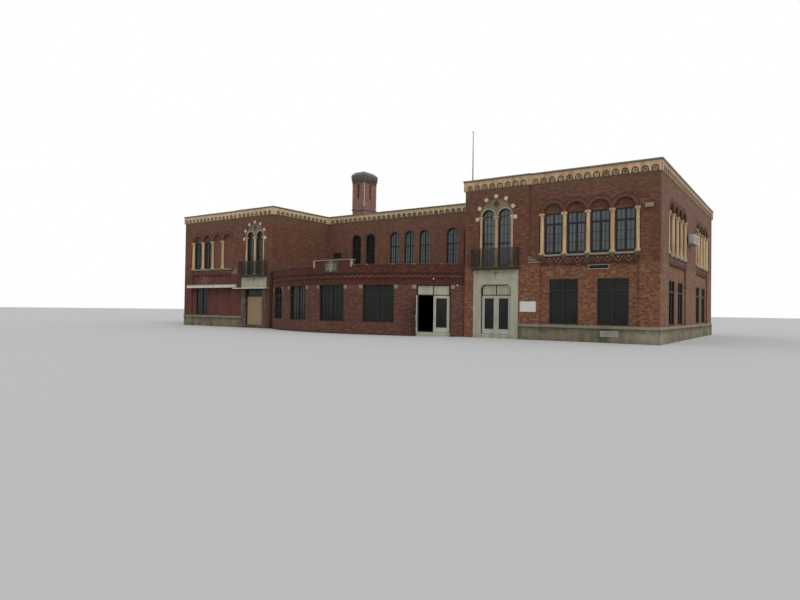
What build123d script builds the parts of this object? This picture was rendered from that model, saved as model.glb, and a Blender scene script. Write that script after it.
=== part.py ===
from build123d import *
import math
import os

# School building of two wings, a main block behind the court and a bowed room across the court.
# Frame: X along the front with 0 in the middle of the court, Y = 0 at the wing fronts and
# growing to the back, Z = 0 at the lowest grade. Sizes are in millimetres.

# Overall plan
COURT_W = 17000
WING_W = 11200
COURT_D = 6390
DEPTH = 19200
WALL_T = 380

# Heights
BASE_LEDGE = 745
BASE_TOP = 910
GROUND_LEVEL = 240
UPPER_LEVEL = 4250
ROOF_LEVEL = 8800
FLOOR_T = 300
ROOF_T = 250
WALL_TOP = 9480
COPING_T = 100

# Stone base
BASE_PROUD = 15
LEDGE_PROUD = 45

# Entry bay of each wing, which stands forward of the wing front
ENTRY_STEP = 95
ENTRY_W = 4130
BUTTRESS_W = 650
BUTTRESS_LOW = 4400
BUTTRESS_HIGH = 4830
BUTTRESS_CAP_OVER = 20
BUTTRESS_CAP_EDGE = 70

# Groups of four upper windows over two ground windows
GROUP_END = 3720
SIDE_GROUP_END = 4950
BAYS = 4
BAY_PITCH = 1305
PANEL_HALF = 2700
PANEL_DEPTH = 95
FRIEZE_LOW = 4280
FRIEZE_HIGH = 4740
FRIEZE_BAND = 50
FRIEZE_SINK = 40
SILL_T = 110
SILL_PROUD = 70
ARCH_SPRING = 7200
ARCH_R = 530
HOOD_W = 245
HOOD_PROUD = 15
NICHE_DEPTH = 150
ARCADE_SILL = 4860
ARCADE_W = 1030
COLUMN_R = 125
COLUMN_AXIS = 80
COLUMN_FOOT = 110
COLUMN_CAP = 210
COLUMN_SPREAD = 1.15
SHAFT_SHARE = 0.92

# Ground windows
GROUND_WINDOW_W = 1650
GROUND_WINDOW_PITCH = 2680
GROUND_SILL = 930
GROUND_HEAD = 3470
GROUND_REVEAL = 30
GROUND_TOPLIGHT = 650

# Round-headed windows of the middle and back walls
ROUND_W = 970
ROUND_SILL = 4950
ROUND_SPRING = 7335
ROUND_TRANSOM = 6680
ROUND_REVEAL = 110
ROUND_AT = (-5355, -3880, -1415, 0, 1415, 3880, 5355)

# Window members
FRAME_W = 60
FRAME_T = 60
FRAME_SET = 20
MULLION_W = 70
RAIL_W = 130
GLASS_T = 8
GLASS_GAP = 0.3
TRANSOM_AT = 6590

# Twin window over each entrance
TWIN_R = 1120
TWIN_SPRING = 7235
TWIN_LIGHT_R = 425
TWIN_LIGHT_AT = 540
TWIN_LIGHT_SPRING = 7285
TWIN_TRANSOM = 5670
TWIN_NICHE = 150
TWIN_STONE_T = 100
TWIN_COLUMN_R = 120
TWIN_EDGE_COLUMN_R = 95
TWIN_COLUMN_OUT = 84
TWIN_COLUMN_CLEAR = 2
BLOCK_COUNT = 7
BLOCK_STEP = 31.2
BLOCK = 220
BLOCK_PROUD = 25
DIAMOND_HALF = 230
DIAMOND_Z = 8020
DIAMOND_PROUD = 12

# Entrance surround and doors
SURROUND_W = 2910
SURROUND_TOP = 4070
SURROUND_PROUD = 20
DOORWAY_W = 2000
DOORWAY_TOP = 3200
SHOULDER = 200
DOOR_SET = 150
DOOR_TRANSOM = 2550
POST_W = 60
POST_T = 90
LEAF_T = 45
LEAF_EDGE = 5
LEAF_FACE = 10
LEAF_FOOT = 10
MEETING_GAP = 9
STILE_W = 110
LEAF_RAIL = 220
KNUCKLE_R = 8
KNUCKLE_L = 80
KNUCKLE_GAP = 0.3
FLAP_W = 30
FLAP_T = 6
HINGE_FROM_END = 200
PULL_UP = 900
PULL_L = 300
PULL_T = 20
PULL_OUT = 45
OVERLIGHT_EDGE = 40
OVERLIGHT_SINK = 25

# Boarded doorway and canopies of the left wing
BOARD_TOP = 2495
BOARD_T = 18
BOARD_POST = 105
CANOPY_OUT = 520
CANOPY_LOW = 3110
CANOPY_T = 85
CANOPY_INSET = 240
SIDE_CANOPY_LOW = 3230
SIDE_CANOPY_T = 270
CANOPY_GAP = 20

# Balcony over each entrance
BALCONY_W = 3050
BALCONY_OUT = 340
BALCONY_T = 180
BALCONY_UNDER_T = 80
BALCONY_STEP = 60
RAIL_SET = 30
RAIL_TOP_T = 30
RAIL_LOW = 90
RAIL_TOP = 5330
RAIL_BAR = 18
RAIL_POST = 40
RAIL_PITCH = 120

# Cornice
CORNICE_LOW = 8930
CORNICE_PROUD = 90
CORBEL_PITCH = 496
CORBEL_R = 185
CORBEL_CROWN = 9265
CORBEL_SIDES = 5
COPING_OVER = 30

# Bowed room across the court
BOW_RISE = 2800
BOW_T = 300
BOW_BAYS = 5
BOW_BAY_ANGLE = 14.3
BOW_OPENING_W = 2140
BOW_HEAD = 3180
BOW_SILL = 800
BOW_BAND_LOW = 3600
BOW_BAND_HIGH = 3920
BOW_BAND_W = 50
BOW_BAND_PROUD = 25
BOW_TOP = 4450
BOW_RAISED_TOP = 4795
BOW_RAISED_W = 3350
BOW_COPING_T = 60
BOW_COPING_OVER = 35
BOW_ROOF_LEVEL = 3950
BOW_WINDOW_SET = 150
BOW_TRANSOM = 2530
BOW_BLOCK_W = 250
BOW_BLOCK_H = 240
BOW_BLOCK_PROUD = 20
BOW_REACH = 1000
SHIELD_W = 1160
SHIELD_H = 790
SHIELD_LOW = 4000
SHIELD_T = 80
SHIELD_SIDE = 355
SHIELD_BULGE = 110

# Chimney
STACK_W = 1330
STACK_D = 1750
STACK_FROM_WING = 300
STACK_BEHIND = 2875
STACK_TOP = 13000
STACK_WALL = 230
STACK_MOULD_DOWN = 2310
STACK_MOULD_T = 150
STACK_MOULD_OUT = 60
STACK_STEPS = ((35, 190), (68, 190), (100, 370))
STACK_SLOPE_H = 270
STACK_SLOPE_IN = 140
SLOT_DOWN = 110
SLOT_H = 1290
SLOT_W = 190
SLOT_DEPTH = 110
COLONNETTE_R = 60
COLONNETTE_DOWN = 40
COLONNETTE_H = 2120

# Fittings
FLOOR_JOINT = 20
POLE_R = 50
POLE_TIP_R = 28
POLE_FOOT_R = 110
POLE_FOOT_T = 30
POLE_BALL_R = 55
POLE_TOP = 12750
POLE_FROM_COURT = 200
POLE_FROM_FRONT = 430
CONDENSER_PITCH = 900
CONDENSER_OFF = -900
CONDENSER_W = 800
CONDENSER_OUT = (90, 420)
CONDENSER_Z = (5960, 6540)
BRACKET_T = 50
BRACKET_AT = 250

# Wall fittings, each with its width, height and how far it stands out
FRONT_VENT = (1110, 250, 30)
FRONT_VENT_OFF = 605
FRONT_VENT_UNDER = 60
BASE_VENT = (950, 300, 30)
BASE_VENT_OFF = 1195
BASE_VENT_UNDER = 115
COURT_VENT = (850, 400, 30)
COURT_VENT_OFF = 1100
COURT_VENT_Z = 6000
LAMP = (250, 200, 170)
LAMP_UNDER = 120
FRONT_LAMP_OFF = 535
SIDE_LAMP_OFF = 1760
NOTICE = (490, 600, 15)
NOTICE_OFF = 355
NOTICE_Z = 1600

# Downpipe in the corner of the court
PIPE_R = 50
PIPE_OFF = 65
PIPE_OUT = 215
PIPE_TOP = 4400
CLIP_H = 60
CLIP_Z = (400, 1800, 3100, 4200)

HALF = COURT_W / 2 + WING_W
INNER = COURT_W / 2
ENTRY_CX = INNER + ENTRY_W / 2
GROUP_CX = HALF - GROUP_END
SPLIT_X = ENTRY_CX + SURROUND_W / 2
BOW_R = (INNER**2 + BOW_RISE**2) / (2 * BOW_RISE)
BOW_CY = BOW_R - BOW_RISE
ARCADE_HALF = BAYS * BAY_PITCH / 2 + COLUMN_R * COLUMN_SPREAD
ARCADE_FRAME_Y = NICHE_DEPTH + FRAME_SET
GROUND_FRAME_Y = PANEL_DEPTH + GROUND_REVEAL
TWIN_BACK = TWIN_NICHE - ENTRY_STEP
TWIN_FRAME_Y = TWIN_BACK + FRAME_SET
SURROUND_FACE = -ENTRY_STEP - SURROUND_PROUD
DOOR_BAY = (BOW_BAYS - 1) / 2 * BOW_BAY_ANGLE
SIDE_GROUPS = (SIDE_GROUP_END, DEPTH - SIDE_GROUP_END)
BACK_GROUPS = (-GROUP_CX, GROUP_CX)
BACK_GROUND = [(i - 1.5) * GROUND_WINDOW_PITCH for i in range(4)]
FILLED_BAYS = 2
STACK_X = (STACK_FROM_WING - INNER, STACK_FROM_WING - INNER + STACK_W)
STACK_Y = (COURT_D + STACK_BEHIND, COURT_D + STACK_BEHIND + STACK_D)
STACK_BAND_TOP = STACK_TOP + sum(rise for _, rise in STACK_STEPS)
STACK_CAP_TOP = STACK_BAND_TOP + STACK_SLOPE_H
STACK_MOULD_Z = STACK_TOP - STACK_MOULD_DOWN
SLOT_HIGH = STACK_TOP - SLOT_DOWN
COLONNETTE_HIGH = STACK_TOP - COLONNETTE_DOWN
COLONNETTE_LOW = COLONNETTE_HIGH - COLONNETTE_H


def block(x0, x1, y0, y1, z0, z1):
    # A plain box from its two corners.
    return Pos((x0 + x1) / 2, (y0 + y1) / 2, (z0 + z1) / 2) * Box(x1 - x0, y1 - y0, z1 - z0)


def upright(points, y0, y1):
    # An outline in x and z, given depth from y0 to y1.
    face = Plane.XZ * make_face(Polyline(*points, close=True))
    return Pos(0, y1, 0) * extrude(face, amount=y1 - y0)


def half_disc(cx, z, r, y0, y1):
    # A half cylinder standing on its flat side at height z.
    full = Pos(cx, (y0 + y1) / 2, z) * Rot(90, 0, 0) * Cylinder(r, y1 - y0)
    return full & block(cx - r - 1, cx + r + 1, y0, y1, z, z + r + 1)


def arched(cx, w, z0, spring, y0, y1):
    # A round-headed opening of width w.
    return block(cx - w / 2, cx + w / 2, y0, y1, z0, spring) + half_disc(cx, spring, w / 2, y0, y1)


def joined(shapes):
    # One shape from many.
    shapes = list(shapes)
    first = shapes[0]
    return first + shapes[1:] if len(shapes) > 1 else first


def on_right(shape):
    # From a wall's own frame to the right side of the building.
    return Pos(HALF, 0, 0) * Rot(0, 0, 90) * shape


def on_back(shape):
    return Pos(0, DEPTH, 0) * Rot(0, 0, 180) * shape


def on_court_side(shape):
    return Pos(INNER, 0, 0) * Rot(0, 0, -90) * shape


def on_middle(shape):
    return Pos(0, COURT_D, 0) * shape


def other_side(shape):
    # The same shape on the other wing.
    return mirror(shape, about=Plane.YZ)


def both(shape):
    return [shape, other_side(shape)]


def bay_centres(cx):
    return [cx + (i - (BAYS - 1) / 2) * BAY_PITCH for i in range(BAYS)]


def column_centres(cx):
    return [cx + (i - BAYS / 2) * BAY_PITCH for i in range(BAYS + 1)]


def ground_centres(cx):
    return [cx - GROUND_WINDOW_PITCH / 2, cx + GROUND_WINDOW_PITCH / 2]


def ground_cut(cx):
    half = GROUND_WINDOW_W / 2
    return block(cx - half, cx + half, -1, WALL_T + 1, GROUND_SILL, GROUND_HEAD)


def group_cuts(cx):
    # What one window group takes out of a wall: sunk panel, frieze field, niche and openings.
    cuts = [
        block(cx - PANEL_HALF, cx + PANEL_HALF, -1, PANEL_DEPTH, BASE_TOP - 1, FRIEZE_LOW),
        block(cx - PANEL_HALF, cx + PANEL_HALF, -1, FRIEZE_SINK,
              FRIEZE_LOW + FRIEZE_BAND, FRIEZE_HIGH - FRIEZE_BAND),
        block(cx - ARCADE_HALF, cx + ARCADE_HALF, -1, NICHE_DEPTH,
              ARCADE_SILL - SILL_T, ARCH_SPRING),
    ]
    for bay in bay_centres(cx):
        cuts.append(half_disc(bay, ARCH_SPRING, ARCH_R, -HOOD_PROUD - 1, NICHE_DEPTH))
        cuts.append(block(bay - ARCADE_W / 2, bay + ARCADE_W / 2, NICHE_DEPTH - 1, WALL_T + 1,
                          ARCADE_SILL, ARCH_SPRING))
    for gx in ground_centres(cx):
        cuts.append(ground_cut(gx))
    return cuts


def group_hoods(cx):
    # Raised brick rings round the four arches, running into one another.
    return [half_disc(bay, ARCH_SPRING, ARCH_R + HOOD_W, -HOOD_PROUD, 0) for bay in bay_centres(cx)]


def brick_wall(x0, x1, centres, low=BASE_TOP, more=(), cuts=()):
    # A wall in its own frame: x along it, y inward from its face.
    wall = block(x0, x1, 0, WALL_T, low, WALL_TOP)
    raised = [hood for cx in centres for hood in group_hoods(cx)] + list(more)
    if raised:
        wall = wall + raised
    taken = [cut for cx in centres for cut in group_cuts(cx)] + list(cuts)
    return wall - taken if taken else wall


def column(cx, y, r, z0, z1, back):
    # A round shaft between a square foot and a flared square cap, cut flat where it meets the wall.
    wide = r * COLUMN_SPREAD
    foot = block(cx - wide, cx + wide, y - wide, y + r, z0, z0 + COLUMN_FOOT)
    shaft_top = z1 - COLUMN_CAP
    shaft = Pos(cx, y, (z0 + COLUMN_FOOT + shaft_top) / 2) * Cylinder(
        r * SHAFT_SHARE, shaft_top - z0 - COLUMN_FOOT)
    flare_top = z1 - COLUMN_CAP / 3
    neck = 2 * r * SHAFT_SHARE
    flare = loft([Pos(cx, y, shaft_top) * Rectangle(neck, neck),
                  Pos(cx, y, flare_top) * Rectangle(2 * wide, 2 * wide)])
    cap = block(cx - wide, cx + wide, y - wide, y + r, flare_top, z1)
    return (foot + shaft + flare + cap) & block(cx - 2 * r, cx + 2 * r, y - 2 * r, back, z0, z1)


def group_columns(cx):
    return [column(x, COLUMN_AXIS, COLUMN_R, ARCADE_SILL, ARCH_SPRING, NICHE_DEPTH)
            for x in column_centres(cx)]


def group_sill(cx):
    return block(cx - ARCADE_HALF, cx + ARCADE_HALF, -SILL_PROUD, NICHE_DEPTH,
                 ARCADE_SILL - SILL_T, ARCADE_SILL)


def square_frame(cx, w, z0, z1, y, transom, rail=FRAME_W):
    # A window's fixed frame with one mullion and one transom.
    half = w / 2
    frame = block(cx - half, cx + half, y, y + FRAME_T, z0, z1)
    top = z1 - FRAME_W
    holes = []
    for x0, x1 in ((cx - half + FRAME_W, cx - MULLION_W / 2), (cx + MULLION_W / 2, cx + half - FRAME_W)):
        holes.append(block(x0, x1, y - 1, y + FRAME_T + 1, z0 + rail, transom - MULLION_W / 2))
        holes.append(block(x0, x1, y - 1, y + FRAME_T + 1, transom + MULLION_W / 2, top))
    return frame - holes


def pane(cx, w, z0, z1, y):
    # The glass behind a frame, which fills the opening.
    return block(cx - w / 2, cx + w / 2, y + FRAME_T, y + FRAME_T + GLASS_T, z0, z1)


def arcade_frame(bay):
    return square_frame(bay, ARCADE_W, ARCADE_SILL, ARCH_SPRING, ARCADE_FRAME_Y, TRANSOM_AT, RAIL_W)


def arcade_pane(bay):
    return pane(bay, ARCADE_W, ARCADE_SILL, ARCH_SPRING, ARCADE_FRAME_Y)


def ground_frame(gx):
    return square_frame(gx, GROUND_WINDOW_W, GROUND_SILL, GROUND_HEAD, GROUND_FRAME_Y,
                        GROUND_HEAD - GROUND_TOPLIGHT)


def ground_pane(gx):
    return pane(gx, GROUND_WINDOW_W, GROUND_SILL, GROUND_HEAD, GROUND_FRAME_Y)


def round_frame(cx, w, z0, spring, y, transom):
    # A round-headed frame with a transom.
    frame = arched(cx, w, z0, spring, y, y + FRAME_T)
    inner = arched(cx, w - 2 * FRAME_W, z0 + FRAME_W, spring, y - 1, y + FRAME_T + 1)
    bar = block(cx - w / 2 + 1, cx + w / 2 - 1, y, y + FRAME_T,
                transom - MULLION_W / 2, transom + MULLION_W / 2)
    return frame - inner + bar


def round_pane(cx, w, z0, spring, y):
    return arched(cx, w, z0, spring, y + FRAME_T, y + FRAME_T + GLASS_T)


def round_cut(cx):
    return arched(cx, ROUND_W, ROUND_SILL, ROUND_SPRING, -1, WALL_T + 1)


def light_centres():
    return [ENTRY_CX - TWIN_LIGHT_AT, ENTRY_CX + TWIN_LIGHT_AT]


def twin_cuts():
    cuts = [arched(ENTRY_CX, 2 * TWIN_R, UPPER_LEVEL, TWIN_SPRING, -ENTRY_STEP - 1, TWIN_BACK)]
    for x in light_centres():
        cuts.append(arched(x, 2 * TWIN_LIGHT_R, UPPER_LEVEL, TWIN_LIGHT_SPRING, TWIN_BACK - 1, WALL_T + 1))
    return cuts


def entry_wall():
    # The brick of the entry bay over the stone surround.
    wall = block(INNER, SPLIT_X, -ENTRY_STEP, WALL_T, SURROUND_TOP, WALL_TOP)
    return wall - twin_cuts()


def entry_pier():
    return block(INNER, ENTRY_CX - SURROUND_W / 2, -ENTRY_STEP, WALL_T, 0, SURROUND_TOP)


def front_wall():
    # The wing front beside the entrance, with the forward strip and the buttress.
    strip = block(SPLIT_X, INNER + ENTRY_W, -ENTRY_STEP, 0, BASE_TOP, WALL_TOP)
    buttress = block(INNER + ENTRY_W, INNER + ENTRY_W + BUTTRESS_W, -ENTRY_STEP, 0,
                     BASE_TOP, BUTTRESS_LOW)
    return brick_wall(SPLIT_X, HALF, [GROUP_CX], more=[strip, buttress])


def buttress_cap():
    x0 = INNER + ENTRY_W
    x1 = x0 + BUTTRESS_W + BUTTRESS_CAP_OVER
    points = [(x0, BUTTRESS_LOW), (x1, BUTTRESS_LOW), (x1, BUTTRESS_LOW + BUTTRESS_CAP_EDGE),
              (x0, BUTTRESS_HIGH)]
    return upright(points, -ENTRY_STEP - BUTTRESS_CAP_OVER, 0)


def front_base():
    # The stone base of a wing front: a plain course with a ledge over it.
    x1 = INNER + ENTRY_W + BUTTRESS_W
    low = block(SPLIT_X, HALF + BASE_PROUD, -BASE_PROUD, WALL_T, 0, BASE_LEDGE)
    low = low + block(SPLIT_X, x1 + BASE_PROUD, -ENTRY_STEP - BASE_PROUD, -BASE_PROUD, 0, BASE_LEDGE)
    ledge = block(SPLIT_X, HALF + LEDGE_PROUD, -LEDGE_PROUD, WALL_T, BASE_LEDGE, BASE_TOP)
    ledge = ledge + block(SPLIT_X, x1 + LEDGE_PROUD, -ENTRY_STEP - LEDGE_PROUD, -LEDGE_PROUD,
                          BASE_LEDGE, BASE_TOP)
    return low + ledge


def straight_base(x0, x1):
    return block(x0, x1, -BASE_PROUD, WALL_T, 0, BASE_LEDGE) + block(
        x0, x1, -LEDGE_PROUD, WALL_T, BASE_LEDGE, BASE_TOP)


def tympanum():
    # The stone head of the twin window, with a raised diamond.
    y0 = TWIN_BACK - TWIN_STONE_T
    head = half_disc(ENTRY_CX, TWIN_SPRING, TWIN_R, y0, TWIN_BACK)
    head = head - block(ENTRY_CX - TWIN_R, ENTRY_CX + TWIN_R, y0 - 1, TWIN_BACK + 1,
                        TWIN_SPRING - 1, TWIN_LIGHT_SPRING)
    head = head - [half_disc(x, TWIN_LIGHT_SPRING, TWIN_LIGHT_R, y0 - 1, TWIN_BACK + 1)
                   for x in light_centres()]
    points = [(ENTRY_CX - DIAMOND_HALF, DIAMOND_Z), (ENTRY_CX, DIAMOND_Z - DIAMOND_HALF),
              (ENTRY_CX + DIAMOND_HALF, DIAMOND_Z), (ENTRY_CX, DIAMOND_Z + DIAMOND_HALF)]
    return head + upright(points, y0 - DIAMOND_PROUD, y0)


def twin_columns():
    y = TWIN_BACK - TWIN_COLUMN_OUT
    edge = TWIN_R - TWIN_EDGE_COLUMN_R * COLUMN_SPREAD - TWIN_COLUMN_CLEAR
    made = [column(ENTRY_CX, y, TWIN_COLUMN_R, UPPER_LEVEL, TWIN_LIGHT_SPRING, TWIN_BACK)]
    for side in (-edge, edge):
        made.append(column(ENTRY_CX + side, y, TWIN_EDGE_COLUMN_R, UPPER_LEVEL, TWIN_LIGHT_SPRING,
                           TWIN_BACK))
    return made


def arch_blocks():
    # Square blocks standing round the arch of the twin window.
    made = []
    for i in range(BLOCK_COUNT):
        tilt = (i - (BLOCK_COUNT - 1) / 2) * BLOCK_STEP
        x = ENTRY_CX + (TWIN_R + BLOCK / 2) * math.sin(math.radians(tilt))
        z = TWIN_SPRING + (TWIN_R + BLOCK / 2) * math.cos(math.radians(tilt))
        stone = Rot(0, tilt, 0) * Box(BLOCK, BLOCK_PROUD, BLOCK)
        made.append(Pos(x, -ENTRY_STEP - BLOCK_PROUD / 2, z) * stone)
    return made


def surround_legs():
    leg = block(ENTRY_CX + DOORWAY_W / 2, ENTRY_CX + SURROUND_W / 2, SURROUND_FACE, WALL_T,
                0, DOORWAY_TOP - SHOULDER)
    return [leg, Pos(-(SURROUND_W + DOORWAY_W) / 2, 0, 0) * leg]


def surround_head():
    half, inner = SURROUND_W / 2, DOORWAY_W / 2
    low = DOORWAY_TOP - SHOULDER
    points = [(-half, low), (-inner, low), (-inner + SHOULDER, DOORWAY_TOP),
              (inner - SHOULDER, DOORWAY_TOP), (inner, low), (half, low),
              (half, SURROUND_TOP), (-half, SURROUND_TOP)]
    points = [(ENTRY_CX + x, z) for x, z in points]
    return upright(points, SURROUND_FACE, WALL_T)


def balcony_slab():
    # A stone slab with a stepped underside.
    y1 = -ENTRY_STEP
    half = BALCONY_W / 2
    middle = SURROUND_TOP + BALCONY_UNDER_T
    top = block(ENTRY_CX - half, ENTRY_CX + half, y1 - BALCONY_OUT, y1, middle, SURROUND_TOP + BALCONY_T)
    half -= BALCONY_STEP
    under = block(ENTRY_CX - half, ENTRY_CX + half, y1 - BALCONY_OUT + BALCONY_STEP, SURROUND_FACE,
                  SURROUND_TOP, middle)
    return top + under


def rail_panel(length):
    # A flat railing of square bars between two rails and two posts, from x = 0 to length.
    z0 = SURROUND_TOP + BALCONY_T
    bar, post = RAIL_BAR / 2, RAIL_POST / 2
    low, high = z0 + RAIL_LOW, RAIL_TOP - RAIL_TOP_T
    parts = [block(0, RAIL_POST, -post, post, z0, RAIL_TOP),
             block(length - RAIL_POST, length, -post, post, z0, RAIL_TOP),
             block(0, length, -post, post, high, RAIL_TOP),
             block(0, length, -bar, bar, low, low + RAIL_TOP_T)]
    count = max(1, round(length / RAIL_PITCH))
    for i in range(1, count):
        x = length * i / count
        parts.append(block(x - bar, x + bar, -bar, bar, low, high))
    return joined(parts)


def balcony_rails():
    # The front panel and the two returns, which stop a hair short of its posts.
    half = BALCONY_W / 2 - RAIL_SET
    y = -ENTRY_STEP - BALCONY_OUT + RAIL_SET + RAIL_POST / 2
    front = Pos(ENTRY_CX - half, y, 0) * rail_panel(2 * half)
    depth = -ENTRY_STEP - y - RAIL_POST / 2 - GLASS_GAP
    end = Rot(0, 0, 90) * rail_panel(depth)
    x = half - RAIL_POST / 2
    y0 = y + RAIL_POST / 2 + GLASS_GAP
    return [front, Pos(ENTRY_CX - x, y0, 0) * end, Pos(ENTRY_CX + x, y0, 0) * end]


def corbel_notches(x0, x1, y0, y1):
    # The row of arched openings along a cornice, centred between x0 and x1.
    count = int((x1 - x0 + 1) // CORBEL_PITCH)
    start = (x0 + x1) / 2 - (count - 1) / 2 * CORBEL_PITCH
    spring = CORBEL_CROWN - CORBEL_R
    notches = []
    for i in range(count):
        cx = start + i * CORBEL_PITCH
        points = [(cx - CORBEL_R, CORNICE_LOW - 1)]
        for k in range(CORBEL_SIDES + 1):
            turn = math.pi * (1 - k / CORBEL_SIDES)
            points.append((cx + CORBEL_R * math.cos(turn), spring + CORBEL_R * math.sin(turn)))
        points.append((cx + CORBEL_R, CORNICE_LOW - 1))
        notches.append(upright(points, y0 - 1, y1 + 1))
    return notches


def cornice(x0, x1, first, last):
    # A straight run of the arcaded cornice, with its notches between first and last.
    band = block(x0, x1, -CORNICE_PROUD, 0, CORNICE_LOW, WALL_TOP)
    return band - corbel_notches(first, last, -CORNICE_PROUD, 0)


def front_cornice():
    # The run over a wing front, which steps forward over the entry bay.
    step = INNER + ENTRY_W
    y0 = -ENTRY_STEP - CORNICE_PROUD
    entry = block(INNER - CORNICE_PROUD, step + CORNICE_PROUD, y0, -ENTRY_STEP, CORNICE_LOW, WALL_TOP)
    entry = entry - corbel_notches(INNER, step, y0, -ENTRY_STEP)
    turn = block(step, step + CORNICE_PROUD, -ENTRY_STEP, 0, CORNICE_LOW, WALL_TOP)
    main = block(step, HALF + CORNICE_PROUD, -CORNICE_PROUD, 0, CORNICE_LOW, WALL_TOP)
    main = main - corbel_notches(step + CORNICE_PROUD, HALF, -CORNICE_PROUD, 0)
    return entry + turn + main


def coping(x0, x1, y0=-CORNICE_PROUD - COPING_OVER, y1=WALL_T):
    return block(x0, x1, y0, y1, WALL_TOP, WALL_TOP + COPING_T)


def front_coping():
    out = CORNICE_PROUD + COPING_OVER
    step = INNER + ENTRY_W + out
    return coping(INNER - out, HALF + out) + coping(INNER - out, step, -ENTRY_STEP - out, -out)


def bow_ring(r0, r1, z0, z1):
    # A length of the bowed wall between two radii, cut off at the wings.
    ring = Pos(0, BOW_CY, (z0 + z1) / 2) * (Cylinder(r1, z1 - z0) - Cylinder(r0, z1 - z0 + 2))
    return ring & block(-INNER, INNER, -BOW_RISE - BOW_REACH, WALL_T, z0 - 1, z1 + 1)


def bow_turn(angle):
    # Turns a shape made at the middle of the bow to a bay, by an angle in degrees.
    return Pos(0, BOW_CY, 0) * Rot(0, 0, angle) * Pos(0, -BOW_CY, 0)


def bow_angles():
    return [(i - (BOW_BAYS - 1) / 2) * BOW_BAY_ANGLE for i in range(BOW_BAYS)]


def bow_opening(angle, z0, z1):
    half = BOW_OPENING_W / 2
    return bow_turn(angle) * block(-half, half, -BOW_RISE - BOW_T, -BOW_RISE + 2 * BOW_T, z0, z1)


def bow_piers():
    ring = bow_ring(BOW_R - BOW_T, BOW_R, 0, BOW_HEAD)
    return (ring - [bow_opening(a, -1, BOW_HEAD + 1) for a in bow_angles()]).solids()


def bow_aprons():
    ring = bow_ring(BOW_R - BOW_T, BOW_R, 0, BOW_SILL)
    return [ring & bow_opening(a, 0, BOW_SILL) for a in bow_angles()[:-1]]


def bow_parapet():
    # The brick over the bays, with two string courses and the raised middle.
    wall = bow_ring(BOW_R - BOW_T, BOW_R, BOW_HEAD, BOW_TOP)
    half = BOW_RAISED_W / 2
    raised = bow_ring(BOW_R - BOW_T, BOW_R, BOW_TOP, BOW_RAISED_TOP)
    raised = raised & block(-half, half, -BOW_RISE - BOW_REACH, 0, BOW_TOP, BOW_RAISED_TOP)
    low = bow_ring(BOW_R - 1, BOW_R + BOW_BAND_PROUD, BOW_BAND_LOW, BOW_BAND_LOW + BOW_BAND_W)
    high = bow_ring(BOW_R - 1, BOW_R + BOW_BAND_PROUD, BOW_BAND_HIGH - BOW_BAND_W, BOW_BAND_HIGH)
    return wall + raised + low + high


def bow_coping():
    # Two low lengths and the raised middle one.
    r0, r1 = BOW_R - BOW_T - BOW_COPING_OVER, BOW_R + BOW_COPING_OVER
    half = BOW_RAISED_W / 2
    low = bow_ring(r0, r1, BOW_TOP, BOW_TOP + BOW_COPING_T)
    cut = block(-half, half, -BOW_RISE - BOW_REACH, 0, BOW_TOP - 1, BOW_TOP + BOW_COPING_T + 1)
    ends = (low - cut).solids()
    top = bow_ring(r0, r1, BOW_RAISED_TOP, BOW_RAISED_TOP + BOW_COPING_T)
    edge = half + BOW_COPING_OVER
    top = top & block(-edge, edge, -BOW_RISE - BOW_REACH, 0, BOW_RAISED_TOP,
                      BOW_RAISED_TOP + BOW_COPING_T)
    return list(ends) + [top]


def bow_roof():
    plate = Pos(0, BOW_CY, BOW_ROOF_LEVEL - FLOOR_T / 2) * Cylinder(BOW_R - BOW_T, FLOOR_T)
    return plate & block(-INNER, INNER, -BOW_RISE - 1, COURT_D, 0, BOW_ROOF_LEVEL + 1)


def bow_floor():
    plate = Pos(0, BOW_CY, GROUND_LEVEL / 2) * Cylinder(BOW_R - BOW_T, GROUND_LEVEL)
    return plate & block(-INNER, INNER, -BOW_RISE - 1, COURT_D, -1, GROUND_LEVEL + 1)


def bow_blocks():
    # Stone blocks at the top corners of each opening.
    ring = bow_ring(BOW_R, BOW_R + BOW_BLOCK_PROUD, BOW_HEAD - BOW_BLOCK_H, BOW_HEAD)
    made = []
    for angle in bow_angles():
        for side in (-1, 1):
            x0 = side * BOW_OPENING_W / 2
            x1 = x0 + side * BOW_BLOCK_W
            cut = block(min(x0, x1), max(x0, x1), -BOW_RISE - BOW_T, -BOW_RISE + BOW_T,
                        BOW_HEAD - BOW_BLOCK_H, BOW_HEAD)
            made.append(ring & bow_turn(angle) * cut)
    return made


def bow_shield():
    # A plain heater shield on the raised middle of the parapet.
    half, low, high = SHIELD_W / 2, SHIELD_LOW, SHIELD_LOW + SHIELD_H
    turn = high - SHIELD_SIDE
    outline = Line((-half, turn), (-half, high)) + Line((-half, high), (half, high))
    outline += Line((half, high), (half, turn))
    outline += SagittaArc((half, turn), (0, low), -SHIELD_BULGE)
    outline += SagittaArc((0, low), (-half, turn), -SHIELD_BULGE)
    back = -BOW_RISE + SHIELD_T
    plate = Pos(0, back, 0) * extrude(Plane.XZ * make_face(outline), amount=2 * SHIELD_T)
    return plate - Pos(0, BOW_CY, BOW_TOP) * Cylinder(BOW_R, 2 * SHIELD_H)


def bow_window(angle):
    y = -BOW_RISE + BOW_WINDOW_SET
    frame = square_frame(0, BOW_OPENING_W, BOW_SILL, BOW_HEAD, y, BOW_TRANSOM)
    return bow_turn(angle) * frame


def bow_pane(angle):
    y = -BOW_RISE + BOW_WINDOW_SET
    return bow_turn(angle) * pane(0, BOW_OPENING_W, BOW_SILL, BOW_HEAD, y)


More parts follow.
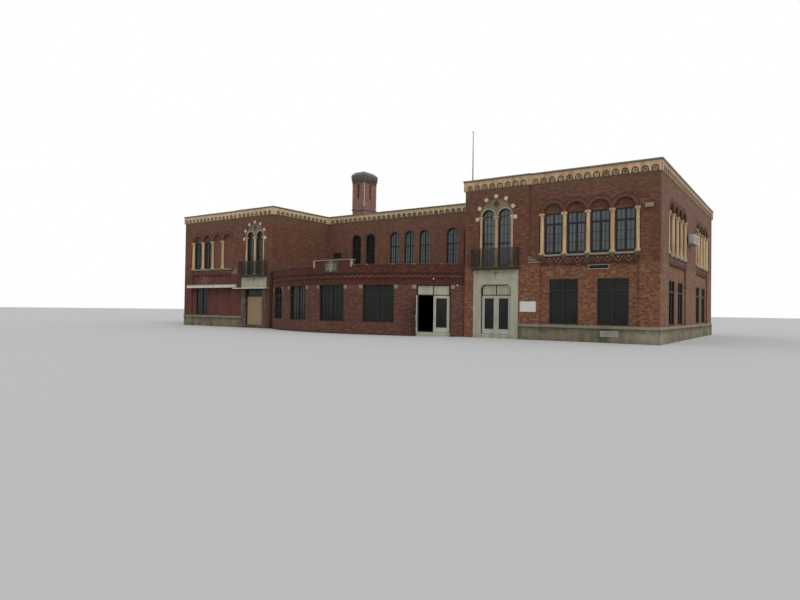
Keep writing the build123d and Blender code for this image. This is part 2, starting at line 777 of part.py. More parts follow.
def knuckle(z, length, side):
    # A hinge barrel on the axis with its flap: side 1 lies on the leaf, -1 on the post.
    barrel = Pos(0, 0, z + length / 2) * Cylinder(KNUCKLE_R, length)
    x0, x1 = sorted((0, side * FLAP_W))
    return barrel + block(x0, x1, LEAF_FACE - FLAP_T, LEAF_FACE, z, z + length)


def hinge_heights(low, high):
    return [low + HINGE_FROM_END, (low + high) / 2, high - HINGE_FROM_END]


def door_leaf(width, low, high):
    # A glazed leaf hung on the z axis and reaching along +x, with its barrels and a pull.
    x0, x1 = LEAF_EDGE, LEAF_EDGE + width
    y0, y1 = LEAF_FACE, LEAF_FACE + LEAF_T
    leaf = block(x0, x1, y0, y1, low, high)
    hole = (x0 + STILE_W, x1 - STILE_W, low + LEAF_RAIL, high - STILE_W)
    leaf = leaf - block(hole[0], hole[1], y0 - 1, y1 + 1, hole[2], hole[3])
    leaf = leaf + [knuckle(z, KNUCKLE_L, 1) for z in hinge_heights(low, high)]
    middle = (y0 + y1) / 2
    glass = block(hole[0] + GLASS_GAP, hole[1] - GLASS_GAP, middle - GLASS_T / 2,
                  middle + GLASS_T / 2, hole[2] + GLASS_GAP, hole[3] - GLASS_GAP)
    px, pz, half = x1 - STILE_W / 2, low + PULL_UP, PULL_T / 2
    grip = block(px - half, px + half, y0 - PULL_OUT, y0 - PULL_OUT + PULL_T,
                 pz - PULL_L / 2, pz + PULL_L / 2)
    feet = [block(px - half, px + half, y0 - PULL_OUT, y0, pz + side * PULL_L / 3 - half,
                  pz + side * PULL_L / 3 + half) for side in (-1, 1)]
    return [leaf + grip + feet, glass]


def door_posts(width, low, high, transom):
    # The two posts of a doorway with their hinge barrels, in a frame centred on the doorway.
    axis = width / 2 - POST_W - LEAF_EDGE
    step = KNUCKLE_L + KNUCKLE_GAP
    post = block(-width / 2, -width / 2 + POST_W, LEAF_FACE, LEAF_FACE + POST_T, low, high)
    for z in hinge_heights(low + LEAF_FOOT, transom - LEAF_FOOT):
        for at in (z - step, z + step):
            post = post + Pos(-axis, 0, 0) * knuckle(at, KNUCKLE_L, -1)
    return [post, mirror(post, about=Plane.YZ)]


def sunk_board(half, transom, high, cut, y0):
    # The right-hand half of an overlight's sunk boards, with its outer top corner cut off.
    edge = OVERLIGHT_EDGE
    right, top = half - edge, high - edge
    cut = max(0, cut - edge / 2)
    points = [(edge / 2, transom + edge), (right, transom + edge), (right, top - cut), (edge / 2, top)]
    if cut:
        points.insert(3, (right - cut, top))
    return upright(points, y0 - 1, y0 + OVERLIGHT_SINK)


def overlight(width, transom, high, cut):
    # The fixed panel over the leaves, with a middle bar between two sunk boards.
    half = width / 2 - POST_W
    y0, y1 = LEAF_FACE, LEAF_FACE + POST_T
    points = [(-half, transom), (half, transom), (half, high - cut), (-half, high - cut)]
    if cut:
        points[3:3] = [(half - cut, high), (cut - half, high)]
    board = sunk_board(half, transom, high, cut, y0)
    return upright(points, y0, y1) - board - mirror(board, about=Plane.YZ)


def leaf_width(width):
    return width / 2 - POST_W - 2 * LEAF_EDGE - MEETING_GAP / 2


def left_leaf(width, low, transom):
    # The leaf of a doorway hung on its left post, closed, in the doorway's frame.
    axis = width / 2 - POST_W - LEAF_EDGE
    return [Pos(-axis, 0, 0) * s for s in
            door_leaf(leaf_width(width), low + LEAF_FOOT, transom - LEAF_FOOT)]


def right_leaf(width, low, transom):
    return [mirror(s, about=Plane.YZ) for s in left_leaf(width, low, transom)]


def at_entry(shape):
    return Pos(ENTRY_CX, DOOR_SET - ENTRY_STEP, 0) * shape


def at_bow_door(shape):
    return bow_turn(DOOR_BAY) * Pos(0, -BOW_RISE + BOW_WINDOW_SET, 0) * shape


def opened(shapes, width, angle):
    # Turns the left leaf of a doorway about its hinge axis.
    axis = width / 2 - POST_W - LEAF_EDGE
    return [Pos(-axis, 0, 0) * Rot(0, 0, angle) * Pos(axis, 0, 0) * s for s in shapes]


def threshold(width):
    return block(-width / 2, width / 2, LEAF_FACE - 30, LEAF_FACE + POST_T, 0, GROUND_LEVEL)


def slabs(low, high):
    # One storey's floor in three plates, with a movement joint where each wing meets the middle.
    x0 = INNER + WALL_T
    wing = block(x0, HALF - WALL_T, WALL_T, DEPTH - WALL_T, low, high)
    middle = block(-x0 + FLOOR_JOINT, x0 - FLOOR_JOINT, COURT_D + WALL_T, DEPTH - WALL_T, low, high)
    return both(wing) + [middle]


def stack_box(out, z0, z1):
    # A box over the stack's plan, wider by out on every side.
    x0, x1 = STACK_X
    y0, y1 = STACK_Y
    return block(x0 - out, x1 + out, y0 - out, y1 + out, z0, z1)


def stack_plan(out, z):
    # The outline of the stack at a height, wider by out on every side.
    x0, x1 = STACK_X
    y0, y1 = STACK_Y
    return Pos((x0 + x1) / 2, (y0 + y1) / 2, z) * Rectangle(x1 - x0 + 2 * out, y1 - y0 + 2 * out)


def stack_slots():
    # A long sunk slot in the middle of each face.
    x = sum(STACK_X) / 2
    y = sum(STACK_Y) / 2
    half = SLOT_W / 2
    low = SLOT_HIGH - SLOT_H
    slots = [block(x - half, x + half, face - SLOT_DEPTH, face + SLOT_DEPTH, low, SLOT_HIGH)
             for face in STACK_Y]
    return slots + [block(face - SLOT_DEPTH, face + SLOT_DEPTH, y - half, y + half, low, SLOT_HIGH)
                    for face in STACK_X]


def stack_corners(shape):
    # A copy of a shape on each corner of the stack.
    z = (COLONNETTE_LOW + COLONNETTE_HIGH) / 2
    return [Pos(x, y, z) * shape for x in STACK_X for y in STACK_Y]


def chimney():
    # The brick stack with its flue and a moulding.
    stack = stack_box(0, ROOF_LEVEL, STACK_TOP)
    stack = stack + stack_box(STACK_MOULD_OUT, STACK_MOULD_Z - STACK_MOULD_T, STACK_MOULD_Z)
    corner = Box(2 * COLONNETTE_R, 2 * COLONNETTE_R, COLONNETTE_H)
    flue = stack_box(-STACK_WALL, ROOF_LEVEL - 1, STACK_TOP + 1)
    return stack - stack_slots() - stack_corners(corner) - flue


def chimney_cap():
    # Courses that step out to a band, and a top that slopes in to the flue.
    z = STACK_TOP
    courses = []
    for out, rise in STACK_STEPS:
        courses.append(stack_box(out, z, z + rise))
        z = z + rise
    wide = STACK_STEPS[-1][0]
    slope = loft([stack_plan(wide, STACK_BAND_TOP).face(), stack_plan(-STACK_SLOPE_IN, STACK_CAP_TOP).face()])
    return joined(courses) + slope - stack_box(-STACK_WALL, STACK_TOP - 1, STACK_CAP_TOP + 1)


def colonnettes():
    shaft = Cylinder(COLONNETTE_R, COLONNETTE_H)
    inside = stack_box(-COLONNETTE_R, ROOF_LEVEL, STACK_TOP)
    return [post - inside for post in stack_corners(shaft)]


def flagpole():
    # A tapered pole with a flange and a ball.
    x, y = INNER + POLE_FROM_COURT, POLE_FROM_FRONT
    top = WALL_TOP + COPING_T
    pole = Pos(x, y, (top + POLE_TOP) / 2) * Cone(POLE_R, POLE_TIP_R, POLE_TOP - top)
    foot = Pos(x, y, top + POLE_FOOT_T / 2) * Cylinder(POLE_FOOT_R, POLE_FOOT_T)
    return foot + pole + Pos(x, y, POLE_TOP) * Sphere(POLE_BALL_R)


def condensers():
    # Two air units on brackets, on the pier between the window groups of the right side.
    made = []
    near, far = CONDENSER_OUT
    low, high = CONDENSER_Z
    middle = DEPTH / 2 + CONDENSER_OFF
    for x in (middle - CONDENSER_PITCH / 2, middle + CONDENSER_PITCH / 2):
        unit = block(x - CONDENSER_W / 2, x + CONDENSER_W / 2, -far, -near, low, high)
        for leg in (x - BRACKET_AT, x + BRACKET_AT):
            unit = unit + block(leg - BRACKET_T / 2, leg + BRACKET_T / 2, -far, 0, low - BRACKET_T, low)
        made.append(on_right(unit))
    return made


def boarded_frame():
    # The fixed frame of the left entrance, with a rail over the board and a light above it.
    half = DOORWAY_W / 2
    spring = DOORWAY_TOP - SHOULDER
    y0, y1 = LEAF_FACE, LEAF_FACE + POST_T
    inner = half - BOARD_POST
    frame = block(-half, half, y0, y1, GROUND_LEVEL, spring)
    frame = frame - block(-inner, inner, y0 - 1, y1 + 1, GROUND_LEVEL - 1, BOARD_TOP)
    frame = frame - block(-inner, inner, y0 - 1, y1 + 1, BOARD_TOP + POST_W, spring - POST_W)
    head = [(-half, spring), (half, spring), (half - SHOULDER, DOORWAY_TOP), (SHOULDER - half, DOORWAY_TOP)]
    return other_side(at_entry(frame + upright(head, y0, y1)))


def boarded_sheet(set_back, thick, low, high):
    # A sheet that fills part of the left entrance's frame.
    inner = DOORWAY_W / 2 - BOARD_POST
    y = LEAF_FACE + set_back
    return other_side(at_entry(block(-inner, inner, y, y + thick, low, high)))


def canopies():
    # The flat canopy over the left entrance and the deeper one beside it, scribed to the wall.
    high = SIDE_CANOPY_LOW + SIDE_CANOPY_T
    step = -INNER - ENTRY_W
    entry = block(step, -INNER - CANOPY_INSET, -CANOPY_OUT, SURROUND_FACE, CANOPY_LOW, CANOPY_LOW + CANOPY_T)
    side = block(-GROUP_CX - PANEL_HALF, step - CANOPY_GAP, -CANOPY_OUT, PANEL_DEPTH, SIDE_CANOPY_LOW, high)
    pier = block(-GROUP_CX + PANEL_HALF, 0, 0, WALL_T, SIDE_CANOPY_LOW - 1, high + 1)
    forward = block(step - BUTTRESS_W, 0, -ENTRY_STEP, WALL_T, SIDE_CANOPY_LOW - 1, high + 1)
    return [entry, side - pier - forward]


def on_wall(size, cx, z0, back):
    # A box on a wall from its width, height and depth, standing out from the plane y = back.
    w, h, out = size
    return block(cx - w / 2, cx + w / 2, back - out, back, z0, z0 + h)


def wall_fittings():
    # Vents, lamps and the notice board.
    lamp_z = ARCH_SPRING - LAMP_UNDER
    return [on_wall(FRONT_VENT, GROUP_CX + FRONT_VENT_OFF, FRIEZE_LOW - FRONT_VENT_UNDER - FRONT_VENT[1],
                    PANEL_DEPTH),
            on_wall(BASE_VENT, GROUP_CX + BASE_VENT_OFF, BASE_LEDGE - BASE_VENT_UNDER - BASE_VENT[1],
                    -BASE_PROUD),
            on_wall(LAMP, HALF - FRONT_LAMP_OFF, lamp_z, 0),
            on_right(on_wall(LAMP, DEPTH / 2 + SIDE_LAMP_OFF, lamp_z, 0)),
            on_wall(NOTICE, SPLIT_X + NOTICE_OFF, NOTICE_Z, -ENTRY_STEP),
            on_middle(on_wall(COURT_VENT, COURT_VENT_OFF - INNER, COURT_VENT_Z, 0))]


def downpipe():
    # A pipe down the corner between the left pier and the bow, with clips back to the pier.
    x = -INNER - PIPE_OFF
    pipe = Pos(x, -PIPE_OUT, PIPE_TOP / 2) * Cylinder(PIPE_R, PIPE_TOP)
    clips = [block(x - PIPE_R / 2, x + PIPE_R / 2, -PIPE_OUT, -ENTRY_STEP, z, z + CLIP_H) for z in CLIP_Z]
    return pipe + clips


def filled_windows():
    # Flat boards in the two windows of the left wing that are closed.
    half = ARCADE_W / 2
    return [block(bay - half, bay + half, NICHE_DEPTH, NICHE_DEPTH + FRAME_T, ARCADE_SILL, ARCH_SPRING)
            for bay in bay_centres(-GROUP_CX)[-FILLED_BAYS:]]


def on_both_sides(shapes):
    made = []
    for shape in shapes:
        made += both(on_right(shape))
    return made


def upper_windows(square, rounded, twin):
    # Every upper window, from a maker for each of its three kinds.
    made = []
    for bay in bay_centres(GROUP_CX):
        made.append(square(bay))
    for bay in bay_centres(-GROUP_CX)[:-FILLED_BAYS]:
        made.append(square(bay))
    for cx in SIDE_GROUPS:
        made += on_both_sides(square(bay) for bay in bay_centres(cx))
    for cx in BACK_GROUPS:
        made += [on_back(square(bay)) for bay in bay_centres(cx)]
    for x in ROUND_AT:
        window = rounded(x)
        made += [on_middle(window), on_back(window)]
    for x in light_centres():
        made += both(twin(x))
    return made


def ground_windows(square, bow):
    made = []
    for gx in ground_centres(GROUP_CX):
        made += both(square(gx))
    for cx in SIDE_GROUPS:
        made += on_both_sides(square(gx) for gx in ground_centres(cx))
    for cx in BACK_GROUPS:
        made += [on_back(square(gx)) for gx in ground_centres(cx)]
    for gx in BACK_GROUND:
        made.append(on_back(Pos(0, GROUND_REVEAL - PANEL_DEPTH, 0) * square(gx)))
    for angle in bow_angles()[:-1]:
        made.append(bow(angle))
    return made


def write(name, shapes):
    # One file for each named sub-part.
    if not isinstance(shapes, (list, tuple, ShapeList)):
        shapes = [shapes]
    solids = [solid for shape in shapes for solid in shape.solids()]
    whole = Compound(children=solids) if len(solids) > 1 else solids[0]
    export_step(whole, f"parts/{name}.step")


def main():
    os.makedirs("parts", exist_ok=True)
    right_front = front_wall()
    write("right_front_wall", right_front)
    write("left_front_wall", other_side(right_front))
    write("entry_walls", both(entry_wall()))
    write("entry_piers", both(entry_pier()))
    side = brick_wall(WALL_T, DEPTH - WALL_T, SIDE_GROUPS)
    write("side_walls", both(on_right(side)))
    back_cuts = [round_cut(x) for x in ROUND_AT] + [ground_cut(x) for x in BACK_GROUND]
    write("back_wall", on_back(brick_wall(-HALF, HALF, BACK_GROUPS, cuts=back_cuts)))
    middle = brick_wall(-INNER, INNER, (), low=0, cuts=[round_cut(x) for x in ROUND_AT])
    write("middle_wall", on_middle(middle))
    inner = block(-COURT_D - WALL_T, -WALL_T, 0, WALL_T, 0, WALL_TOP)
    write("inner_walls", both(on_court_side(inner)))
    write("end_bases", both(front_base()) + [on_back(straight_base(-HALF - LEDGE_PROUD, HALF + LEDGE_PROUD))])
    write("side_bases", both(on_right(straight_base(WALL_T, DEPTH - WALL_T))))
    write("buttress_caps", both(buttress_cap()))
    groups = [group_columns(GROUP_CX), group_columns(-GROUP_CX)]
    columns = [c for group in groups for c in group] + [s for c in twin_columns() for s in both(c)]
    for cx in SIDE_GROUPS:
        columns += on_both_sides(group_columns(cx))
    for cx in BACK_GROUPS:
        columns += [on_back(c) for c in group_columns(cx)]
    write("columns", columns)
    sills = both(group_sill(GROUP_CX))
    sills += on_both_sides(group_sill(cx) for cx in SIDE_GROUPS)
    sills += [on_back(group_sill(cx)) for cx in BACK_GROUPS]
    write("arcade_sills", sills)
    write("tympana", both(tympanum()))
    write("arch_blocks", [s for b in arch_blocks() for s in both(b)])
    write("surround_legs", [s for leg in surround_legs() for s in both(leg)])
    write("surround_heads", both(surround_head()))
    write("balcony_slabs", both(balcony_slab()))
    write("balcony_rails", [s for rail in balcony_rails() for s in both(rail)])
    write("front_cornices", both(front_cornice()) + [on_middle(cornice(
        -INNER + CORNICE_PROUD, INNER - CORNICE_PROUD, -INNER + CORNICE_PROUD, INNER - CORNICE_PROUD))])
    write("back_cornice", on_back(cornice(-HALF - CORNICE_PROUD, HALF + CORNICE_PROUD, -HALF, HALF)))
    write("side_cornices", both(on_right(cornice(0, DEPTH, 0, DEPTH))))
    court = cornice(-COURT_D, ENTRY_STEP, -COURT_D + CORNICE_PROUD, ENTRY_STEP)
    write("court_cornices", both(on_court_side(court)))
    out = CORNICE_PROUD + COPING_OVER
    ends = both(front_coping())
    ends.append(on_middle(coping(-INNER + out, INNER - out)))
    ends.append(on_back(coping(-HALF - out, HALF + out)))
    write("end_copings", ends)
    sides = both(on_right(coping(WALL_T, DEPTH - WALL_T)))
    sides += both(on_court_side(coping(-COURT_D - WALL_T, -WALL_T)))
    write("side_copings", sides)
    write("upper_frames", upper_windows(
        arcade_frame,
        lambda x: round_frame(x, ROUND_W, ROUND_SILL, ROUND_SPRING, ROUND_REVEAL, ROUND_TRANSOM),
        lambda x: round_frame(x, 2 * TWIN_LIGHT_R, UPPER_LEVEL, TWIN_LIGHT_SPRING, TWIN_FRAME_Y,
                              TWIN_TRANSOM)))
    write("upper_glass", upper_windows(
        arcade_pane,
        lambda x: round_pane(x, ROUND_W, ROUND_SILL, ROUND_SPRING, ROUND_REVEAL),
        lambda x: round_pane(x, 2 * TWIN_LIGHT_R, UPPER_LEVEL, TWIN_LIGHT_SPRING, TWIN_FRAME_Y)))
    write("ground_frames", ground_windows(ground_frame, bow_window))
    spring = DOORWAY_TOP - SHOULDER
    boarded_pane = boarded_sheet(FRAME_SET, GLASS_T, BOARD_TOP + POST_W, spring - POST_W)
    write("ground_glass", ground_windows(ground_pane, bow_pane) + [boarded_pane])
    write("filled_windows", filled_windows())
    write("boarded_frame", boarded_frame())
    write("entry_board", boarded_sheet(FRAME_SET, BOARD_T, GROUND_LEVEL, BOARD_TOP))
    write("canopies", canopies())
    write("bow_piers", bow_piers())
    write("bow_aprons", bow_aprons())
    write("bow_parapet", bow_parapet())
    write("bow_coping", bow_coping())
    write("bow_roof", bow_roof())
    write("bow_blocks", bow_blocks())
    write("bow_shield", bow_shield())
    write("ground_floors", slabs(0, GROUND_LEVEL) + [bow_floor()])
    write("upper_floors", slabs(UPPER_LEVEL - FLOOR_T, UPPER_LEVEL))
    write("roof_slabs", slabs(ROOF_LEVEL - ROOF_T, ROOF_LEVEL))
    write("chimney_stack", chimney())
    write("chimney_cap", chimney_cap())
    write("chimney_colonnettes", colonnettes())
    write("flagpole", flagpole())
    write("condensers", condensers())
    write("wall_fittings", wall_fittings())
    write("downpipe", downpipe())
    doors()


def doors():
    # The two entrances, the doorway in the bow and the four leaves.
    low = GROUND_LEVEL
    posts = door_posts(DOORWAY_W, low, DOORWAY_TOP - SHOULDER, DOOR_TRANSOM)
    bow_posts = door_posts(BOW_OPENING_W, low, BOW_HEAD, BOW_TRANSOM)
    write("door_posts", [at_entry(p) for p in posts] + [at_bow_door(p) for p in bow_posts])
    entry_light = overlight(DOORWAY_W, DOOR_TRANSOM, DOORWAY_TOP, SHOULDER - POST_W)
    bow_light = overlight(BOW_OPENING_W, BOW_TRANSOM, BOW_HEAD, 0)
    write("overlights", [at_entry(entry_light), at_bow_door(bow_light)])
    sills = both(at_entry(threshold(DOORWAY_W)))
    write("thresholds", sills + [at_bow_door(threshold(BOW_OPENING_W))])
    write("entry_door_left", [at_entry(s) for s in left_leaf(DOORWAY_W, low, DOOR_TRANSOM)])
    write("entry_door_right", [at_entry(s) for s in right_leaf(DOORWAY_W, low, DOOR_TRANSOM)])
    open_leaf = opened(left_leaf(BOW_OPENING_W, low, BOW_TRANSOM), BOW_OPENING_W, -90)
    write("bow_door_left", [at_bow_door(s) for s in open_leaf])
    write("bow_door_right", [at_bow_door(s) for s in right_leaf(BOW_OPENING_W, low, BOW_TRANSOM)])


main()
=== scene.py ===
import functools
import math
import random

import bmesh
import bpy
from mathutils import Matrix, Vector


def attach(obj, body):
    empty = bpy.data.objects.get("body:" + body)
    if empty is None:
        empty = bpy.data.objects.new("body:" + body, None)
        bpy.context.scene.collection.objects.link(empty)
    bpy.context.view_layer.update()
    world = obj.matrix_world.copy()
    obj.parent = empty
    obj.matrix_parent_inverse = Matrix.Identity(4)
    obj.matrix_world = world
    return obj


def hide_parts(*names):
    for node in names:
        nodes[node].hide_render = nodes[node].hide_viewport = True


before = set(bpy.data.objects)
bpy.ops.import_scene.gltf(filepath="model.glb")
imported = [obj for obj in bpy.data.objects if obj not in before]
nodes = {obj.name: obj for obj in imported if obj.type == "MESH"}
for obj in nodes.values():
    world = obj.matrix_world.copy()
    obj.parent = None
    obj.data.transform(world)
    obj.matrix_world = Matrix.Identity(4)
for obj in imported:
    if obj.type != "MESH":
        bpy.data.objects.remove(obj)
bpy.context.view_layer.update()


# Brick walls
# Dark red facing brick in running bond, 203 by 57 mm with 10 mm joints, laid in lime mortar.
# Under the upper windows they are more mixed, with header courses, light bricks and paler joints.

UPPER_BRICK_Z = 4.30
BRICK_L = 0.213
BRICK_H = 0.067
JOINT = 0.005
SUNK_HEADS = 19.66
SUNK_HEADS_Z = (7.15, 7.8)
SOOTY = (0.55, 0.48, 0.45)


def plug(tree, socket, value):
    """Fills a socket with a plain value, the output of a node, or a pattern: a function that adds its own
    nodes to a tree and returns their output."""
    if callable(value):
        value = value(tree)
    if isinstance(value, bpy.types.NodeSocket):
        tree.links.new(value, socket)
    else:
        socket.default_value = (*value, 1) if socket.type == "RGBA" else value


def node(kind, inputs=(), output=0, **settings):
    """The pattern that one shader node makes of its inputs."""
    def pattern(tree):
        made = tree.nodes.new(kind)
        for key, value in settings.items():
            setattr(made, key, value)
        for key, value in dict(inputs).items():
            plug(tree, made.inputs[key], value)
        return made.outputs[output]
    return pattern


def maths(operation, a, b=0.0, clamp=False):
    return node("ShaderNodeMath", {0: a, 1: b}, operation=operation, use_clamp=clamp)


def times(*values):
    return functools.reduce(lambda a, b: maths("MULTIPLY", a, b), values)


def blend(share, a, b, way="MIX"):
    """Mixes two colours."""
    return node("ShaderNodeMix", {0: share, 6: a, 7: b}, 2, data_type="RGBA", blend_type=way)


def shaded(colour, shade, *shares):
    """Darkens a colour by a shade, as far as the shares say."""
    return blend(times(*shares), colour, shade, "MULTIPLY")


def stained(colour, stains_and_painted_light):
    """Lays stains, painted shade and painted light over a colour, each a mask and a colour of its own."""
    return functools.reduce(lambda base, overlay: blend(overlay[0], base, overlay[1]), stains_and_painted_light, colour)


def ramp(value, stops):
    """Turns a value into a colour or grey by its stops."""
    def pattern(tree):
        made = tree.nodes.new("ShaderNodeValToRGB")
        plug(tree, made.inputs[0], value)
        points = made.color_ramp.elements
        while len(points) < len(stops):
            points.new(0.5)
        for point, (place, colour) in zip(points, stops):
            point.position = place
            point.color = (*colour, 1) if isinstance(colour, tuple) else (colour, colour, colour, 1)
        return made.outputs[0]
    return pattern


OBJECT_PLACE = node("ShaderNodeTexCoord", output="Object")


def along(axis, of=OBJECT_PLACE):
    return node("ShaderNodeSeparateXYZ", {0: of}, axis)


def above(axis, place):
    return maths("GREATER_THAN", along(axis), place)


def below(axis, place):
    return maths("LESS_THAN", along(axis), place)


def within(axis, low, high):
    return times(above(axis, low), below(axis, high))


def grown(value, low, high):
    """Grows from 0 at one value to 1 at another."""
    return node("ShaderNodeMapRange", {"Value": value, "From Min": low, "From Max": high})


def climb(low, high):
    return grown(along("Z"), low, high)


def noise(scale, detail=4.0, stretch=(1, 1, 1)):
    """Noise over the object's own place, with its size along each axis set by stretch."""
    place = node("ShaderNodeMapping", {"Vector": OBJECT_PLACE, "Scale": stretch})
    return node("ShaderNodeTexNoise", {"Vector": place, "Scale": scale, "Detail": detail}, "Fac")


def spots(scale, detail, start, full, stretch=(1, 1, 1), least=0.0, most=1.0):
    """Ragged spots, where noise lies between two values."""
    return ramp(noise(scale, detail, stretch), [(start, least), (full, most)])


def patch(at, reach):
    """A ragged round patch about a point."""
    away = node("ShaderNodeVectorMath", {0: OBJECT_PLACE, 1: at}, "Value", operation="DISTANCE")
    return grown(maths("ADD", away, times(noise(4.0, 5.0), reach)), reach * 1.4, reach * 0.6)


def given(title):
    """What a node group is handed."""
    return lambda tree: tree.nodes["Group Input"].outputs[title]


def new_group(name, inputs, **outputs):
    """A node group of patterns. Its sockets are plain numbers, apart from Place."""
    tree = bpy.data.node_groups.new(name, "ShaderNodeTree")
    for way, titles in (("INPUT", inputs), ("OUTPUT", outputs)):
        for title in titles:
            kind = "NodeSocketVector" if title == "Place" else "NodeSocketFloat"
            tree.interface.new_socket(title, in_out=way, socket_type=kind)
    tree.nodes.new("NodeGroupInput")
    sent = tree.nodes.new("NodeGroupOutput").inputs
    for title, pattern in outputs.items():
        plug(tree, sent[title], pattern)
    return tree


def from_group(group, title, inputs=()):
    return node("ShaderNodeGroup", inputs, title, node_tree=group)


def up_the_wall(run):
    """Lays a pattern flat: along a wall and up it."""
    return node("ShaderNodeCombineXYZ", {"X": run, "Y": along("Z")})


def bond(output):
    """What a brick texture gives: a random tone for each brick, or the joints. Headers is the share of
    each second course in bricks of half length."""
    shake = node("ShaderNodeTexNoise", {"Vector": given("Place"), "Scale": 4.0}, "Color")
    wobble = node("ShaderNodeVectorMath", {0: shake, "Scale": 0.003}, operation="SCALE")
    place = node("ShaderNodeVectorMath", {0: given("Place"), 1: wobble})
    stretchers, headers = (node("ShaderNodeTexBrick", {
        "Vector": place, "Color1": (0, 0, 0), "Color2": (1, 1, 1), "Scale": 1.0, "Mortar Size": JOINT,
        "Mortar Smooth": 0.3, "Bias": 0.0, "Brick Width": BRICK_L, "Row Height": BRICK_H},
        output, squash=squash) for squash in (1.0, 0.5))
    return node("ShaderNodeMix", {0: given("Headers"), 2: stretchers, 3: headers})


FACING_SIDE = maths("ABSOLUTE", along("X", node("ShaderNodeNewGeometry", output="True Normal")))
WALL_PLACE = new_group("wall_place", (), Place=up_the_wall(node("ShaderNodeMix", {
    0: maths("GREATER_THAN", FACING_SIDE, 0.5), 2: along("X"), 3: along("Y")})))
WALL = from_group(WALL_PLACE, "Place")
BOND = new_group("brick_bond", ("Place", "Headers"), Tone=bond("Color"), Joint=bond("Fac"))
WEATHER = new_group(
    "weather", (), Blotch=spots(0.45, 5.0, 0.35, 0.68), Streak=spots(2.2, 4.0, 0.46, 0.72, (1, 1, 0.12)),
    Grain=noise(60.0, 3.0),
    Damp=maths("SUBTRACT", times(noise(1.4, 4.0), 0.7), times(along("Z"), 1.3), clamp=True))
BLOTCH, STREAK, GRAIN, DAMP = (
    from_group(WEATHER, title) for title in ("Blotch", "Streak", "Grain", "Damp"))


def material(name, colour, height=None, distance=0.002, strength=1.0, **numbers):
    """A Principled material of a colour and a relief, with plain numbers on the shader's own sockets."""
    made = bpy.data.materials.new(name)
    made.use_nodes = True
    sockets = made.node_tree.nodes["Principled BSDF"].inputs
    if height:
        numbers["Normal"] = node(
            "ShaderNodeBump", {"Height": height, "Distance": distance, "Strength": strength})
    for title, value in {"Base Color": colour, **numbers}.items():
        plug(made.node_tree, sockets[title.replace("_", " ")], value)
    return made


def fired(value, tones):
    """Spreads a value evenly over fired colours."""
    return ramp(value, [(i / (len(tones) - 1), tone) for i, tone in enumerate(tones)])


def brickwork(name, tones, joint, zones=(), stains_and_painted_light=(), place=WALL, soot=0.35, headers=0.0):
    """Laid bricks. A zone is a mask with its own tones and joint, and headers the mask of where every
    second course is laid in headers."""
    tone, joints = (
        from_group(BOND, title, {"Place": place, "Headers": headers}) for title in ("Tone", "Joint"))
    brick, mortar = fired(tone, tones), joint
    for mask, zone_tones, zone_joint in zones:
        brick = blend(mask, brick, fired(tone, zone_tones))
        mortar = blend(mask, mortar, zone_joint)
    wall = blend(joints, shaded(brick, SOOTY, BLOTCH, soot), mortar)
    wall = stained(shaded(wall, (0.6, 0.55, 0.52), STREAK, 0.3), stains_and_painted_light)
    return material(name, shaded(wall, (0.45, 0.45, 0.38), DAMP, 0.8),
                    maths("SUBTRACT", times(GRAIN, 0.35), joints), 0.006, 0.8,
                    Roughness=0.9, Specular_IOR_Level=0.3)


def dress(finish, *names):
    """Gives a material to CAD nodes as they are."""
    for name in names:
        nodes[name].data.materials.clear()
        nodes[name].data.materials.append(finish)


UNDER_WINDOWS = below("Z", UPPER_BRICK_Z)
GREY_TOPS = (times(climb(7.9, 8.9), noise(1.2, 5.0, (1, 1, 1.6)), 0.85), (0.150, 0.100, 0.068))
MOSSY_ARCH = (times(patch((14.0, 0.15, 7.5), 0.42), 0.75), (0.085, 0.105, 0.050))
SALTS = (times(patch((-17.1, 0.0, 4.25), 1.3), spots(3.0, 6.0, 0.44, 0.66), 0.7), (0.230, 0.215, 0.180))
PALE_RUNS = (times(climb(6.8, 8.9), spots(3.0, 6.0, 0.60, 0.78, (0.5, 0.5, 2.2)), 0.35),
             (0.300, 0.240, 0.190))
# Painted shade on the side and back brick between 7.15 and 7.8 m up, except on the outer face of the side
# walls: the sunk arch heads.
SHADED_SUNK_HEADS = (times(maths("LESS_THAN", maths("ABSOLUTE", along("X")), SUNK_HEADS),
                     within("Z", *SUNK_HEADS_Z), 0.7), (0.040, 0.022, 0.016))

WALL_BRICK = brickwork(
    "wall_brick", [(0.100, 0.044, 0.030), (0.150, 0.058, 0.034), (0.190, 0.070, 0.038),
                   (0.230, 0.098, 0.053)],
    (0.172, 0.108, 0.070), (
        (UNDER_WINDOWS, [(0.110, 0.044, 0.028), (0.180, 0.059, 0.032), (0.250, 0.092, 0.043),
                         (0.330, 0.168, 0.082)], (0.300, 0.203, 0.124)),
        (times(UNDER_WINDOWS, below("X", 0.0)), [(0.110, 0.034, 0.026), (0.150, 0.046, 0.034),
                                                 (0.185, 0.058, 0.042)], (0.140, 0.075, 0.056))),
    (GREY_TOPS, MOSSY_ARCH, SALTS, PALE_RUNS), headers=UNDER_WINDOWS)
# The side brick is paler and pinker than the front's, partly as a painted sheen of the sky it reflects at a
# grazing view.
SIDE_BRICK = brickwork(
    "side_brick", [(0.110, 0.057, 0.042), (0.172, 0.080, 0.052), (0.215, 0.095, 0.057),
                   (0.260, 0.132, 0.080)],
    (0.196, 0.146, 0.103), (
        (UNDER_WINDOWS, [(0.088, 0.044, 0.032), (0.176, 0.066, 0.038), (0.255, 0.105, 0.051),
                         (0.317, 0.174, 0.094)], (0.290, 0.218, 0.145)),),
    (PALE_RUNS, SHADED_SUNK_HEADS), headers=UNDER_WINDOWS)
